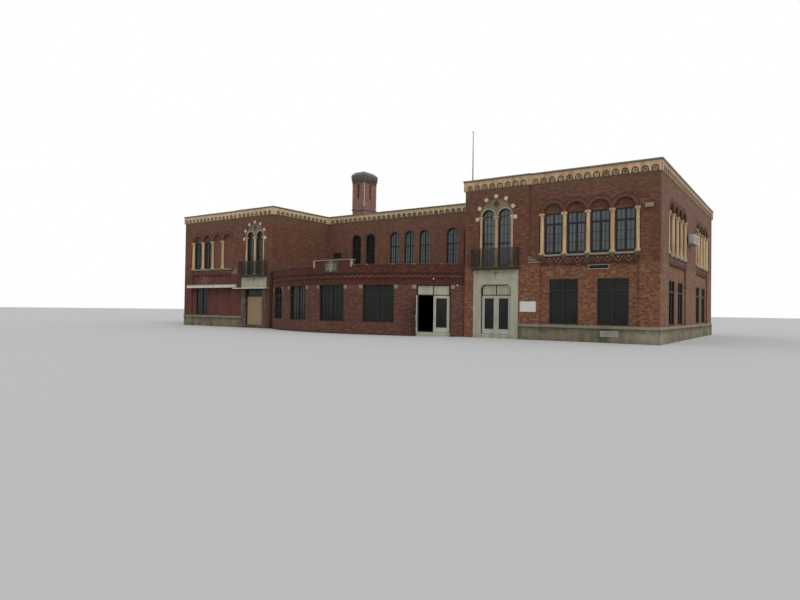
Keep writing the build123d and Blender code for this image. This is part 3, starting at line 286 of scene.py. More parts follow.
# The middle wall's brick is lighter than the front's as painted light, for the more open light it gets.
MIDDLE_BRICK = brickwork(
    "middle_brick", [(0.150, 0.066, 0.046), (0.200, 0.084, 0.052), (0.240, 0.100, 0.056),
                     (0.275, 0.128, 0.075)], (0.220, 0.142, 0.100), (), (GREY_TOPS, PALE_RUNS))
dress(WALL_BRICK, "right_front_wall", "left_front_wall", "entry_walls", "entry_piers", "inner_walls")
dress(SIDE_BRICK, "side_walls", "back_wall")
dress(MIDDLE_BRICK, "middle_wall")


# Stone base
# Courses of pale stone under a projecting ledge, built into the foot of the walls. The stone is
# patched with cement render and mossy near the ground. The top of the ledge has painted light,
# and the stone under it has ragged painted shade.

BASE_LEDGE = 0.745
BASE_BLOCK_W = 1.6
LEDGE_SHADE_H = 0.28
RENDER_AT = (19.2, 0.3, 0.35)


def stonework(name, pale, dark, moss, moss_share=0.5, pits=0.004, streaks=0.4, stains_and_painted_light=(), block=None):
    """Weathered stone: two tones in blotches, moss in its damp parts, streaks, pits and bed joints."""
    growth = spots(1.1, 6.0, 0.48, 0.66, (1, 1, 0.7))
    stone = blend(times(growth, moss_share), blend(noise(3.0, 6.0), pale, dark), moss)
    stone = stained(shaded(stone, (0.42, 0.40, 0.36), STREAK, streaks), stains_and_painted_light)
    stone = shaded(stone, (0.5, 0.5, 0.42), DAMP, 0.8)
    relief = maths("ADD", noise(14.0, 8.0), times(GRAIN, 0.4))
    if block:
        joints = node("ShaderNodeTexBrick", {
            "Vector": WALL, "Scale": 1.0, "Mortar Size": 0.004, "Mortar Smooth": 0.1,
            "Brick Width": block[0], "Row Height": block[1]}, "Fac")
        stone = blend(joints, stone, (0.10, 0.09, 0.07))
        relief = maths("SUBTRACT", relief, times(joints, 3.0))
    return material(name, stone, relief, pits, Roughness=0.88, Specular_IOR_Level=0.25)


RENDER = (times(patch(RENDER_AT, 1.5), 0.75), (0.36, 0.33, 0.25))
# Painted light on the top of the ledge, and painted shade under it, ragged and darkest next to it.
LIT_LEDGE_TOP = (times(above("Z", BASE_LEDGE), 0.55), (0.30, 0.265, 0.185))
SHADE_UNDER_LEDGE = (times(climb(BASE_LEDGE - LEDGE_SHADE_H, BASE_LEDGE), below("Z", BASE_LEDGE),
               spots(2.0, 5.0, 0.35, 0.6, least=0.3, most=0.95)), (0.055, 0.052, 0.035))
dress(stonework("base_stone", (0.27, 0.235, 0.155), (0.155, 0.132, 0.085), (0.085, 0.088, 0.048), 0.8,
                stains_and_painted_light=(RENDER, LIT_LEDGE_TOP, SHADE_UNDER_LEDGE), block=(BASE_BLOCK_W, BASE_LEDGE)),
      "end_bases", "side_bases")


# Arches over the upper windows
# A ring of bricks on end round each arch between two thin rolls, standing a little proud of the
# wall. Neighbouring rings meet over the columns, where both are cut to the middle line.

HALF = 19.7
INNER = 8.5
DEPTH = 19.2
COURT_D = 6.39
GROUP_CX = HALF - 3.72
SIDE_GROUP = 4.95
BAYS = 4
BAY = 1.305
ARCH_SPRING = 7.2
RING_BRICK = 0.067
RING_R = (0.556, 0.742)
RING_Y = (-0.021, -0.013)
OUTER_ROLL = (0.757, 0.036, -0.017)
INNER_ROLL = (0.542, 0.026, -0.015)


def shift(x=0.0, y=0.0, z=0.0):
    return Matrix.Translation((x, y, z))


def turn(degrees, axis="Z"):
    return Matrix.Rotation(math.radians(degrees), 4, axis)


TO_RIGHT = shift(HALF) @ turn(90)
TO_BACK = shift(0, DEPTH) @ turn(180)
TO_MIDDLE = shift(0, COURT_D)
TO_COURT_SIDE = shift(INNER) @ turn(-90)
OTHER_SIDE = Matrix.Scale(-1, 4, (1, 0, 0))


def mirrored(*places):
    """Each place with its mirror image on the left."""
    return [one for place in places for one in (place, OTHER_SIDE @ place)]


GROUPS = [to @ shift(x) for to in (Matrix(), TO_BACK) for x in (GROUP_CX, -GROUP_CX)]
GROUPS += mirrored(TO_RIGHT @ shift(SIDE_GROUP), TO_RIGHT @ shift(DEPTH - SIDE_GROUP))
IN_BAYS = [shift((i - (BAYS - 1) / 2) * BAY) for i in range(BAYS)]
EVERY_BAY = [group @ bay for group in GROUPS for bay in IN_BAYS]
BETWEEN_BAYS = [group @ shift((i - BAYS / 2) * BAY) for group in GROUPS for i in range(BAYS + 1)]


def slab(bm, x0, x1, y0, y1, z0, z1):
    """Adds a box to a mesh and returns its corners."""
    size = Matrix.Diagonal((x1 - x0, y1 - y0, z1 - z0, 1))
    where = shift((x0 + x1) / 2, (y0 + y1) / 2, (z0 + z1) / 2)
    return bmesh.ops.create_cube(bm, size=1, matrix=where @ size)["verts"]


def turned(bm, verts, degrees, axis="Y", about=(0, 0, 0)):
    bmesh.ops.rotate(bm, verts=verts, cent=about, matrix=turn(degrees, axis).to_3x3())


def move(bm, verts, x=0.0, y=0.0, z=0.0):
    bmesh.ops.translate(bm, verts=verts, vec=(x, y, z))


def spin(bm, geom, degrees, steps, axis, about=(0, 0, 0)):
    """Turns a section into a solid, all the way round or half."""
    bmesh.ops.spin(bm, geom=geom, cent=about, axis=axis, angle=math.radians(degrees), steps=steps,
                   use_merge=degrees == 360)


def soften(bm, width, segments=1, only=None):
    """Rounds the sharp edges of a mesh a little."""
    sharp = [e for e in bm.edges if len(e.link_faces) == 2 and e.calc_face_angle() > 0.6
             and (only is None or only(e))]
    bmesh.ops.bevel(bm, geom=sharp, offset=width, affect="EDGES", segments=segments, profile=0.5,
                    material=-1, clamp_overlap=True)


def close_holes(bm):
    bmesh.ops.holes_fill(bm, edges=[e for e in bm.edges if e.is_boundary])


def cut_off(bm, at, towards):
    """Cuts off all that lies beyond a plane, and closes the cut."""
    bmesh.ops.bisect_plane(bm, geom=bm.verts[:] + bm.edges[:] + bm.faces[:], plane_co=at,
                           plane_no=towards, clear_outer=True)
    close_holes(bm)


def meshed(bm, name="template"):
    """Turns a bmesh into a mesh with its faces outward."""
    bmesh.ops.recalc_face_normals(bm, faces=bm.faces)
    mesh = bpy.data.meshes.new(name)
    bm.to_mesh(mesh)
    bm.free()
    return mesh


def stamp(bm, mesh, places):
    """Adds a copy of a mesh at each place."""
    for place in places:
        moved = mesh.copy()
        moved.transform(place)
        bm.from_mesh(moved)
        bpy.data.meshes.remove(moved)


def shape(fill):
    """Makes a function that fills a bmesh into one that returns the filled mesh."""
    def make(*sizes):
        bm = bmesh.new()
        fill(bm, *sizes)
        return meshed(bm)
    return make


def in_scene(name, data):
    made = bpy.data.objects.new(name, data)
    bpy.context.scene.collection.objects.link(made)
    return made


def piece(name, finish, slot, *parts, body="building", stands_for=(), smooth=None):
    """Makes one object of meshes stamped at their places, with its material and body; its slot is not used.
    """
    bm = bmesh.new()
    for part in parts:
        stamp(bm, *(part if isinstance(part, tuple) else (part, [Matrix()])))
    mesh = meshed(bm, name)
    made = in_scene(name, mesh)
    for one in finish if isinstance(finish, tuple) else (finish,):
        mesh.materials.append(one)
    if smooth:
        mesh.shade_smooth()
        mesh.set_sharp_from_angle(angle=math.radians(smooth))
    if stands_for:
        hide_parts(*stands_for)
    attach(made, body)


def arched_roll(bm, r, width, y):
    """A round moulding bent over an arch."""
    section = bmesh.ops.create_circle(bm, segments=6, radius=width / 2)["verts"]
    move(bm, section, r, y)
    spin(bm, bm.verts[:] + bm.edges[:], 180, 16, (0, -1, 0))
    close_holes(bm)
    move(bm, bm.verts, z=ARCH_SPRING)


def ring_bricks(bm, r0, r1, y0, y1, spring):
    """Bricks set on end round an arch, with their front edges worn."""
    count = round(math.pi * (r0 + r1) / 2 / RING_BRICK)
    half = math.pi * (r0 + r1) / 4 / count - JOINT
    for i in range(count):
        turned(bm, slab(bm, r0, r1, y0, y1, -half, half), -180 * (i + 0.5) / count)
    soften(bm, 0.003, only=lambda e: all(v.co.y < (y0 + y1) / 2 for v in e.verts))
    move(bm, bm.verts, z=spring)


@shape
def over_a_group(group, fill, *sizes):
    """An arch trimming in each bay of a group, cut off halfway to its neighbours."""
    for i, place in enumerate(IN_BAYS):
        one = bmesh.new()
        fill(one, *sizes)
        for side, has_neighbour in ((-1, i > 0), (1, i < BAYS - 1)):
            if has_neighbour:
                cut_off(one, (side * BAY / 2, 0, 0), (side, 0, 0))
        stamp(group, meshed(one), [place])


def loose_bricks(name, *tones):
    """Bricks that are solids of their own: each takes one tone."""
    each = node("ShaderNodeNewGeometry", output="Random Per Island")
    brick = fired(maths("ADD", times(each, 0.7), times(noise(3.0), 0.3)), tones)
    return material(name, shaded(brick, SOOTY, BLOTCH, 0.3), GRAIN, Roughness=0.9, Specular_IOR_Level=0.3)


RING_BRICKS = loose_bricks("ring_brick", (0.125, 0.058, 0.042), (0.165, 0.075, 0.054), (0.20, 0.092, 0.066))
# The rolls are painted near black, partly as painted shade along them.
DARK_ROLL_AND_SHADE = loose_bricks("dark_roll_and_shade", (0.060, 0.026, 0.019), (0.085, 0.036, 0.026))
piece("arch_rings", RING_BRICKS, "brick", (over_a_group(ring_bricks, *RING_R, *RING_Y, ARCH_SPRING), GROUPS))
piece("arch_outer_rolls", DARK_ROLL_AND_SHADE, "brick", (over_a_group(arched_roll, *OUTER_ROLL), GROUPS), smooth=50)
piece("arch_inner_rolls", DARK_ROLL_AND_SHADE, "brick", (over_a_group(arched_roll, *INNER_ROLL), GROUPS), smooth=50)


# Frieze under the upper windows
# A sunk band between two courses of dark headers, whose near-black colour is partly painted shade
# under the sill and along the band, as is the dark sunk ground behind the wave. Thin moulded bricks
# follow a wave along it, a pale row over a dark one, with small cream stones between the crests.

FRIEZE_LOW = 4.33
FRIEZE_HIGH = 4.69
FRIEZE_HALF = 2.7
FRIEZE_SINK = 0.04
FRIEZE_FACE = 0.014
WAVES = 10
WAVE_BRICKS = 4
WAVE = 2 * FRIEZE_HALF / WAVES
HEADER = 0.108
HEADER_H = 0.041


@shape
def frieze_wave(bm):
    """One crest: a thin pale row of bricks that bends over it, and a dark row inside."""
    rise, run = FRIEZE_HIGH - FRIEZE_LOW - 0.08, WAVE / 2
    for drop, half, face, finish in ((0.0, 0.014, FRIEZE_FACE, 0), (0.07, 0.024, FRIEZE_FACE + 0.012, 1)):
        steps = [k / WAVE_BRICKS for k in range(WAVE_BRICKS + 1)]
        line = [(run * (k - 1), FRIEZE_LOW + 0.035 - drop + rise * (1 - math.cos(math.pi * k)) / 2)
                for k in steps]
        for (x0, z0), (x1, z1) in zip(line, line[1:]):
            long = math.hypot(x1 - x0, z1 - z0) * 0.47
            brick = slab(bm, -long, long, face, FRIEZE_SINK, -half, half)
            turned(bm, brick, -math.degrees(math.atan2(z1 - z0, x1 - x0)))
            move(bm, brick, (x0 + x1) / 2, 0, (z0 + z1) / 2)
            for one in {f for v in brick for f in v.link_faces}:
                one.material_index = finish
    for at, towards in (((0, 0, FRIEZE_LOW + 0.002), (0, 0, -1)), ((-0.002, 0, 0), (1, 0, 0)),
                        ((0.002 - run, 0, 0), (-1, 0, 0))):
        cut_off(bm, at, towards)
    bmesh.ops.mirror(bm, geom=bm.verts[:] + bm.edges[:] + bm.faces[:], axis="X", merge_dist=0.0001)
    soften(bm, 0.003, only=lambda e: all(v.co.y < FRIEZE_SINK - 0.005 for v in e.verts))


def plate(bm, outline, y0, y1):
    """An outline in x and z, given depth from y0 to y1."""
    face = bm.faces.new([bm.verts.new((x, y0, z)) for x, z in outline])
    made = bmesh.ops.extrude_face_region(bm, geom=[face])["geom"]
    move(bm, [v for v in made if isinstance(v, bmesh.types.BMVert)], y=y1 - y0)


@shape
def frieze_stone(bm):
    """A cream stone between two crests, point down."""
    x, z, half = WAVE / 2, FRIEZE_HIGH - 0.075, 0.052
    plate(bm, [(x, z + half), (x - half, z), (x, z - half), (x + half, z)], FRIEZE_SINK, FRIEZE_SINK - 0.03)
    soften(bm, 0.006)


@shape
def frieze_courses(bm):
    """The dark courses over and under the band, and the ground behind the wave, their dark colour partly
    painted shade.
    """
    for z in (FRIEZE_LOW - 0.045, FRIEZE_HIGH + 0.004):
        for i in range(round(2 * FRIEZE_HALF / HEADER)):
            x = -FRIEZE_HALF + i * HEADER + JOINT
            slab(bm, x, x + HEADER - 2 * JOINT, -0.007, 0.003, z, z + HEADER_H)
    slab(bm, 0.004 - FRIEZE_HALF, FRIEZE_HALF - 0.004, FRIEZE_SINK - 0.006, FRIEZE_SINK + 0.001,
         FRIEZE_LOW + 0.003, FRIEZE_HIGH - 0.003)


def across_friezes(count):
    """A place for each wave of every group, from the first one on."""
    return [group @ shift((i - (WAVES - 1) / 2) * WAVE) for group in GROUPS for i in range(count)]


WAVE_LIGHT = loose_bricks("wave_light", (0.19, 0.11, 0.08), (0.33, 0.22, 0.16))
WAVE_DARK = loose_bricks("wave_dark", (0.105, 0.042, 0.030), (0.16, 0.060, 0.042))
piece("frieze_wave", (WAVE_LIGHT, WAVE_DARK), "brick", (frieze_wave(), across_friezes(WAVES)))
piece("frieze_courses", DARK_ROLL_AND_SHADE, "brick", (frieze_courses(), GROUPS))


# Cornice
# Buff terracotta band on a row of small round arches with drop ends, hung on the brick under the
# coping. A glazed disc with a cream rim stands in each arch, in muted colours.

CORNICE_LOW = 8.93
WALL_TOP = 9.48
PROUD = 0.09
ENTRY_STEP = 0.095
ENTRY_W = 4.13
CORBEL = 0.496
CORBEL_R = 0.185
CORBEL_SPRING = 9.08
ARCH_STEPS = 6
RIM = 0.014
DISC_R = 0.142


def quarter_arc(r, side=1):
    """Points of a quarter arch, from its crown at x = 0 down to its spring on one side."""
    turns = [math.pi / 2 * (1 - k / ARCH_STEPS) for k in range(ARCH_STEPS + 1)]
    return [(side * r * math.cos(turn), CORBEL_SPRING + r * math.sin(turn)) for turn in turns]


def ball(bm, r, at=(0, 0, 0), stretch=(1, 1, 1), tilt=0.0, around=8, down=5):
    """Adds a ball that is stretched, tilted and moved, and returns its corners."""
    made = bmesh.ops.create_uvsphere(bm, u_segments=around, v_segments=down, radius=r)["verts"]
    bmesh.ops.scale(bm, verts=made, vec=stretch)
    turned(bm, made, tilt)
    move(bm, made, *at)
    return made


@shape
def corbel(bm):
    """The stretch of cornice between two arch crowns: band, drop, raised arch rims and top fillet."""
    half = CORBEL / 2
    left = [(x - half, z) for x, z in quarter_arc(CORBEL_R)] + [(CORBEL_R - half + 0.02, CORNICE_LOW + 0.03)]
    right = [(-x, z) for x, z in reversed(left)]
    plate(bm, [(half, WALL_TOP), (-half, WALL_TOP)] + left + right, RIM - PROUD, 0)
    for side in (1, -1):
        inner, outer = ([(x - side * half, z) for x, z in quarter_arc(CORBEL_R + wider, side)]
                        for wider in (0.004, 0.04))
        plate(bm, inner + outer[::-1], -PROUD, RIM - PROUD)
    slab(bm, -half, half, -PROUD, RIM - PROUD, WALL_TOP - 0.05, WALL_TOP)
    ball(bm, 0.04, (0, -PROUD / 2, CORNICE_LOW + 0.034), (1.25, 0.9, 0.8))


@shape
def run_end(bm, crown, far):
    """The end of a run, from the crown of its last arch to its outer end."""
    arc = [(crown + x, z) for x, z in quarter_arc(CORBEL_R, 1 if far > crown else -1)]
    plate(bm, [(crown, WALL_TOP)] + arc + [(arc[-1][0], CORNICE_LOW), (far, CORNICE_LOW), (far, WALL_TOP)],
          -PROUD, 0)


def lathe(bm, profile, steps, about=(0, 0, 0), axis=(0, 0, 1)):
    """A shape turned round an axis from its profile."""
    points = [bm.verts.new(Vector(point) + Vector(about)) for point in profile]
    edges = [bm.edges.new(pair) for pair in zip(points, points[1:])]
    spin(bm, points + edges, 360, steps, axis, about)


@shape
def disc(bm):
    """A dished disc with a cream rim and a coloured middle."""
    lathe(bm, [(DISC_R, 0, 0), (DISC_R, -0.03, 0), (DISC_R - 0.022, -0.045, 0), (DISC_R - 0.046, -0.032, 0),
               (0.05, -0.036, 0), (0, -0.05, 0)], 14, axis=(0, 1, 0))
    bmesh.ops.remove_doubles(bm, verts=bm.verts, dist=0.0001)
    for face in bm.faces:
        face.material_index = int(face.calc_center_median().length < DISC_R - 0.04)
    move(bm, bm.verts, z=CORBEL_SPRING)


def cornice_runs():
    """Each straight run: its place, its ends, and the ends of its row of arches."""
    step = INNER + ENTRY_W
    right = ((shift(0, -ENTRY_STEP), INNER - PROUD, step + PROUD, INNER, step),
             (Matrix(), step + PROUD, HALF + PROUD, step + PROUD, HALF),
             (TO_RIGHT, 0, DEPTH, 0, DEPTH),
             (TO_COURT_SIDE, -COURT_D, ENTRY_STEP, -COURT_D + PROUD, ENTRY_STEP))
    return (*right, *((OTHER_SIDE @ place, *ends) for place, *ends in right),
            (TO_MIDDLE, PROUD - INNER, INNER - PROUD, PROUD - INNER, INNER - PROUD),
            (TO_BACK, -HALF - PROUD, HALF + PROUD, -HALF, HALF))


def cornice_parts(finishes):
    """The meshes and places of the whole band, and the places of the discs of each finish."""
    unit, band, discs = corbel(), [], [[] for _ in range(finishes)]
    choose = random.Random(11)
    for place, x0, x1, first, last in cornice_runs():
        count = int((last - first + 0.001) // CORBEL)
        start = (first + last) / 2 - (count - 1) / 2 * CORBEL
        crowns = [start + i * CORBEL for i in range(count)]
        band += [(unit, [place @ shift(x + CORBEL / 2) for x in crowns[:-1]]),
                 (run_end(start, x0), [place]), (run_end(crowns[-1], x1), [place])]
        for x in crowns:
            discs[choose.randrange(finishes)].append(place @ shift(x))
    return band, discs


def terracotta(name, pale, dark, rough=0.6, soot=0.45, stains_and_painted_light=()):
    """Cast terracotta: a thin slip of its own colour, in runs of two tones, stained by soot."""
    tone = blend(spots(5.0, 4.0, 0.38, 0.62, (1, 1, 0.12)), pale, dark)
    tone = shaded(tone, (0.6, 0.52, 0.42), STREAK, 0.4)
    tone = shaded(tone, (0.40, 0.36, 0.30), spots(7.0, 6.0, 0.52, 0.75), soot)
    return material(name, stained(tone, stains_and_painted_light), maths("ADD", noise(25.0, 5.0), times(GRAIN, 0.3)), 0.0025,
                    Roughness=rough, Specular_IOR_Level=0.35)


# Over the court and the left wing the band is made lighter and yellower, and the discs and their rims are
# darkened as painted shade.
LEFT_RUNS = times(below("X", INNER - 0.1), 0.38)
MOSSY_DROPS = times(climb(CORNICE_LOW + 0.25, CORNICE_LOW), spots(1.6, 5.0, 0.4, 0.62), 0.55)
SIDE_RUNS = times(above("X", HALF + 0.02), 0.5)
CORNICE_CLAY = terracotta("cornice_clay", (0.66, 0.45, 0.25), (0.50, 0.31, 0.17), stains_and_painted_light=(
    (LEFT_RUNS, (0.72, 0.59, 0.36)), (MOSSY_DROPS, (0.40, 0.36, 0.20)), (SIDE_RUNS, (0.20, 0.15, 0.10))))
RIM_TONES = ((0.46, 0.37, 0.23), (0.33, 0.27, 0.16))
DISC_RIM = terracotta("disc_rim", *RIM_TONES, stains_and_painted_light=((LEFT_RUNS, (0.13, 0.11, 0.055)),))
GLAZES = (("brown", (0.150, 0.085, 0.055), (0.095, 0.055, 0.038)),
          ("cream", (0.390, 0.330, 0.170), (0.270, 0.220, 0.110)),
          ("green", (0.205, 0.255, 0.120), (0.125, 0.165, 0.075)),
          ("olive", (0.190, 0.165, 0.075), (0.120, 0.100, 0.048)),
          ("grey", (0.165, 0.195, 0.130), (0.100, 0.125, 0.082)))

cornice_band, disc_places = cornice_parts(len(GLAZES))
piece("cornice_band", CORNICE_CLAY, "terracotta", *cornice_band,
      stands_for=("front_cornices", "back_cornice", "side_cornices", "court_cornices"))
for places, (colour, pale, dark) in zip(disc_places, GLAZES):
    glaze = terracotta(f"{colour}_glaze", pale, dark, 0.35, stains_and_painted_light=((LEFT_RUNS, (0.055, 0.050, 0.022)),))
    piece(f"{colour}_discs", (DISC_RIM, glaze), "terracotta", (disc(), places), smooth=40)
piece("frieze_stones", terracotta("rim_clay", *RIM_TONES), "terracotta",
      (frieze_stone(), across_friezes(WAVES - 1)))


# Coping
# Folded sheet metal over the wall tops in lengths of 2.4 m: a pale upper fold, partly painted light for
# the sky on it, over a lower edge that is painted dark as the shadow of its drip.

COPING_FOLD = WALL_TOP + 0.042
COPING_L = 2.4


def metal(name, colour, wear, rough=0.5, flakes=0.3, stains_and_painted_light=(), metallic=0.0):
    """Painted or plain sheet metal with dull patches, streaks and worn spots."""
    paint = blend(times(spots(9.0, 8.0, 0.56, 0.70), flakes), colour, wear)
    paint = shaded(paint, (0.6, 0.56, 0.5), STREAK, 0.45)
    gloss = maths("ADD", rough - 0.12, times(noise(6.0, 5.0), 0.24), clamp=True)
    return material(name, stained(paint, stains_and_painted_light), noise(5.0, 3.0), Roughness=gloss, Metallic=metallic,
                    Specular_IOR_Level=0.4)


LAPS = node("ShaderNodeTexBrick", {"Vector": WALL, "Scale": 1.0, "Mortar Size": 0.008,
                                   "Brick Width": COPING_L, "Row Height": 40.0}, "Fac", offset=0.0)
# Below the fold the metal is painted dark: painted shadow of the drip.
dress(metal("coping_metal", (0.28, 0.292, 0.23), (0.187, 0.178, 0.132), 0.55, 0.6, (
    (LAPS, (0.10, 0.08, 0.06)), (below("Z", COPING_FOLD), (0.055, 0.036, 0.024)))),
      "end_copings", "side_copings")


# Columns
# Engaged terracotta columns between the upper windows and in the twin windows: a square plinth, a
# round moulded base, a plain shaft and a bell with two scrolls under a square cap. One of the left
# wing, beside a closed window, has been painted over.

ARCADE_SILL = 4.86
COLUMN_R = 0.125
COLUMN_Y = 0.08
COLUMN_SPREAD = 1.15
UPPER_LEVEL = 4.25
ENTRY_CX = INNER + ENTRY_W / 2
TWIN_BACK = 0.055
TWIN_R = 1.12
TWIN_SPRING = 7.285
TWIN_COLUMN_R = 0.12
TWIN_EDGE_R = 0.095
TWIN_EDGE = TWIN_R - TWIN_EDGE_R * COLUMN_SPREAD - 0.002
TWIN_COLUMN_Y = TWIN_BACK - 0.084
TWINS = mirrored(shift(ENTRY_CX))


def rod(bm, r, length, at=(0, 0, 0), top=None, around=12, forward=True):
    """Adds a round bar that tapers to the radius at its top, pointing forward or up."""
    made = bmesh.ops.create_cone(bm, cap_ends=True, segments=around, radius1=r, radius2=top or r,
                                 depth=length)["verts"]
    turned(bm, made, 90 if forward else 0, "X")
    move(bm, made, *at)


@shape
def column(bm, r, foot, top):
    wide = r * COLUMN_SPREAD
    shaft = r * 0.84
    z = foot + 0.06
    slab(bm, -wide, wide, -wide, r, foot, z)
    lathe(bm, [(radius, 0, height) for radius, height in (
        (wide * 0.97, z), (wide, z + 0.03), (wide * 0.92, z + 0.06), (shaft * 1.05, z + 0.072),
        (shaft * 1.16, z + 0.105), (shaft * 1.02, z + 0.135), (shaft, z + 0.16), (shaft * 1.02, z + 0.9),
        (shaft * 0.94, top - 0.30), (shaft * 1.12, top - 0.285), (shaft * 1.12, top - 0.262),
        (shaft * 0.96, top - 0.25), (shaft * 1.02, top - 0.17), (wide * 0.9, top - 0.07))], 16)
    for side in (-1, 1):
        rod(bm, r * 0.3, r * 1.1, (side * wide * 0.72, -wide * 0.5, top - 0.07 - r * 0.3), around=10)
    slab(bm, -wide, wide, -wide, r, top - 0.07, top)
    slab(bm, -wide * 0.9, wide * 0.9, -wide * 0.9, r, top - 0.095, top - 0.07)
    bmesh.ops.remove_doubles(bm, verts=bm.verts, dist=0.0001)


def apart(places, *others):
    """The places that aren't within 0.1 m of the others."""
    return [place for place in places
            if all((place.translation - other.translation).length > 0.1 for other in others)]


PAINTED_OVER = shift(BAYS / 2 * BAY - GROUP_CX)
BARE = apart(BETWEEN_BAYS, PAINTED_OVER)
FLAKING = times(climb(UPPER_LEVEL + 1.25, UPPER_LEVEL + 0.95),
                spots(14.0, 6.0, 0.38, 0.6, least=0.15, most=0.9))
COLUMN_CLAY = terracotta("column_clay", (0.66, 0.50, 0.29), (0.50, 0.31, 0.17), soot=0.25)
TWIN_CLAY = terracotta("twin_clay", (0.62, 0.46, 0.27), (0.48, 0.30, 0.17), soot=0.3,
                       stains_and_painted_light=((FLAKING, (0.155, 0.13, 0.062)),))
PAINTED_CLAY = terracotta("painted_clay", (0.165, 0.072, 0.046), (0.125, 0.058, 0.040), soot=0.3)
arcade_column = column(COLUMN_R, ARCADE_SILL, ARCH_SPRING)
piece("arcade_columns", COLUMN_CLAY, "terracotta",
      (arcade_column, [place @ shift(0, COLUMN_Y) for place in BARE]), stands_for=("columns",), smooth=35)
piece("painted_column", PAINTED_CLAY, "terracotta",
      (arcade_column, [PAINTED_OVER @ shift(0, COLUMN_Y)]), smooth=35)
piece("twin_columns", TWIN_CLAY, "terracotta",
      (column(TWIN_COLUMN_R, UPPER_LEVEL, TWIN_SPRING), mirrored(shift(ENTRY_CX, TWIN_COLUMN_Y))),
      (column(TWIN_EDGE_R, UPPER_LEVEL, TWIN_SPRING),
       mirrored(*(shift(ENTRY_CX + x, TWIN_COLUMN_Y) for x in (-TWIN_EDGE, TWIN_EDGE)))), smooth=35)


# Sills of the upper windows
# Pale sloped stones between the columns, on brick, and a mossy stone pedestal under each column
# that is corbelled out of the wall.

SILL_T = 0.11
SILL_PROUD = 0.07
PEDESTAL_W = 0.30
PEDESTAL_LOW = 4.63


def front_top(verts, top, y=0.0):
    """The upper front corners of a slab."""
    return [v for v in verts if v.co.y < y and v.co.z > top - 0.01]


@shape
def sill_stone(bm):
    half = (BAY - PEDESTAL_W) / 2
    stone = slab(bm, -half, half, -SILL_PROUD, 0.15, ARCADE_SILL - 0.07, ARCADE_SILL)
    move(bm, front_top(stone, ARCADE_SILL), z=-0.022)
    slab(bm, -half, half, 0.035 - SILL_PROUD, 0.15, ARCADE_SILL - SILL_T, ARCADE_SILL - 0.07)
    soften(bm, 0.006)


@shape
def pedestal(bm):
    half = PEDESTAL_W / 2
    slab(bm, -half, half, -SILL_PROUD - 0.012, 0.15, ARCADE_SILL - SILL_T, ARCADE_SILL)
    foot = slab(bm, -half, half, -SILL_PROUD, 0.02, PEDESTAL_LOW, ARCADE_SILL - SILL_T)
    low = [v for v in foot if v.co.z < PEDESTAL_LOW + 0.01]
    bmesh.ops.scale(bm, verts=low, vec=(0.72, 0.25, 1))
    soften(bm, 0.01)


SILL_STONE = stonework("sill_stone", (0.50, 0.44, 0.34), (0.36, 0.31, 0.23), (0.20, 0.19, 0.11), 0.35, 0.002)
PEDESTAL_STONE = stonework("pedestal_stone", (0.20, 0.15, 0.09), (0.12, 0.10, 0.055),
                           (0.10, 0.11, 0.045), 0.85)
piece("sill_stones", SILL_STONE, "stone", (sill_stone(), EVERY_BAY), stands_for=("arcade_sills",))
piece("column_pedestals", PEDESTAL_STONE, "stone", (pedestal(), BETWEEN_BAYS))


# Twin windows' stone heads
# A stone head fills the arch over each pair of lights. It has a moulded rim round each light, a
# diamond of small bricks, and square terracotta blocks standing round it in the brick.

TWIN_LIGHT_R = 0.425
TWIN_LIGHT_AT = 0.54
TWIN_FACE = TWIN_BACK - 0.10
TWIN_LIGHTS = [twin @ shift(x) for twin in TWINS for x in (-TWIN_LIGHT_AT, TWIN_LIGHT_AT)]
DIAMOND_Z = 8.02
DIAMOND_BRICK = 0.105


@shape
def light_rim(bm):
    """A raised rim round the head of a light."""
    section = bmesh.ops.create_circle(bm, segments=4, radius=math.sqrt(0.5))["verts"]
    turned(bm, section, 45, "Z")
    bmesh.ops.scale(bm, verts=section, vec=(0.085, 0.03, 1))
    move(bm, section, TWIN_LIGHT_R + 0.047, TWIN_FACE + 0.003)
    spin(bm, bm.verts[:] + bm.edges[:], 180, 18, (0, -1, 0))
    close_holes(bm)
    move(bm, bm.verts, z=TWIN_SPRING)


@shape
def diamond(bm):
    """Nine bricks on the diamond of the head, standing on their corner."""
    half = DIAMOND_BRICK / 2 - 0.004
    face = TWIN_FACE - 0.012
    for i in range(-1, 2):
        for j in range(-1, 2):
            x, z = i * DIAMOND_BRICK, j * DIAMOND_BRICK
            out = 0.012 if (i + j) % 2 else 0.006
            slab(bm, x - half, x + half, face - out, face + 0.001, z - half, z + half)
    soften(bm, 0.004)
    turned(bm, bm.verts, 45)
    move(bm, bm.verts, z=DIAMOND_Z)


# Painted shade: the head stones darken towards the crown of the brick arch over them.
SHADE_UNDER_ARCH = (times(climb(7.75, 8.5), 0.45), (0.12, 0.10, 0.06))
dress(stonework("head_stone", (0.29, 0.235, 0.145), (0.20, 0.155, 0.09), (0.17, 0.155, 0.085), 0.5, 0.002,
                stains_and_painted_light=(SHADE_UNDER_ARCH,)), "tympana")
dress(terracotta("block_clay", (0.74, 0.60, 0.42), (0.66, 0.42, 0.25), soot=0.25), "arch_blocks")
RIM_STONE = stonework("rim_stone", (0.42, 0.36, 0.245), (0.33, 0.275, 0.18), (0.25, 0.23, 0.14), 0.4, 0.002)
piece("light_rims", RIM_STONE, "stone", (light_rim(), TWIN_LIGHTS))
piece("head_diamonds", WAVE_DARK, "brick", (diamond(), TWINS))


# Cut stone
# The entrance surrounds, thresholds and blocks of smooth pale limestone, and the darker mossy slabs
# of the balconies. A slim carved spray of leaves hangs over each door.

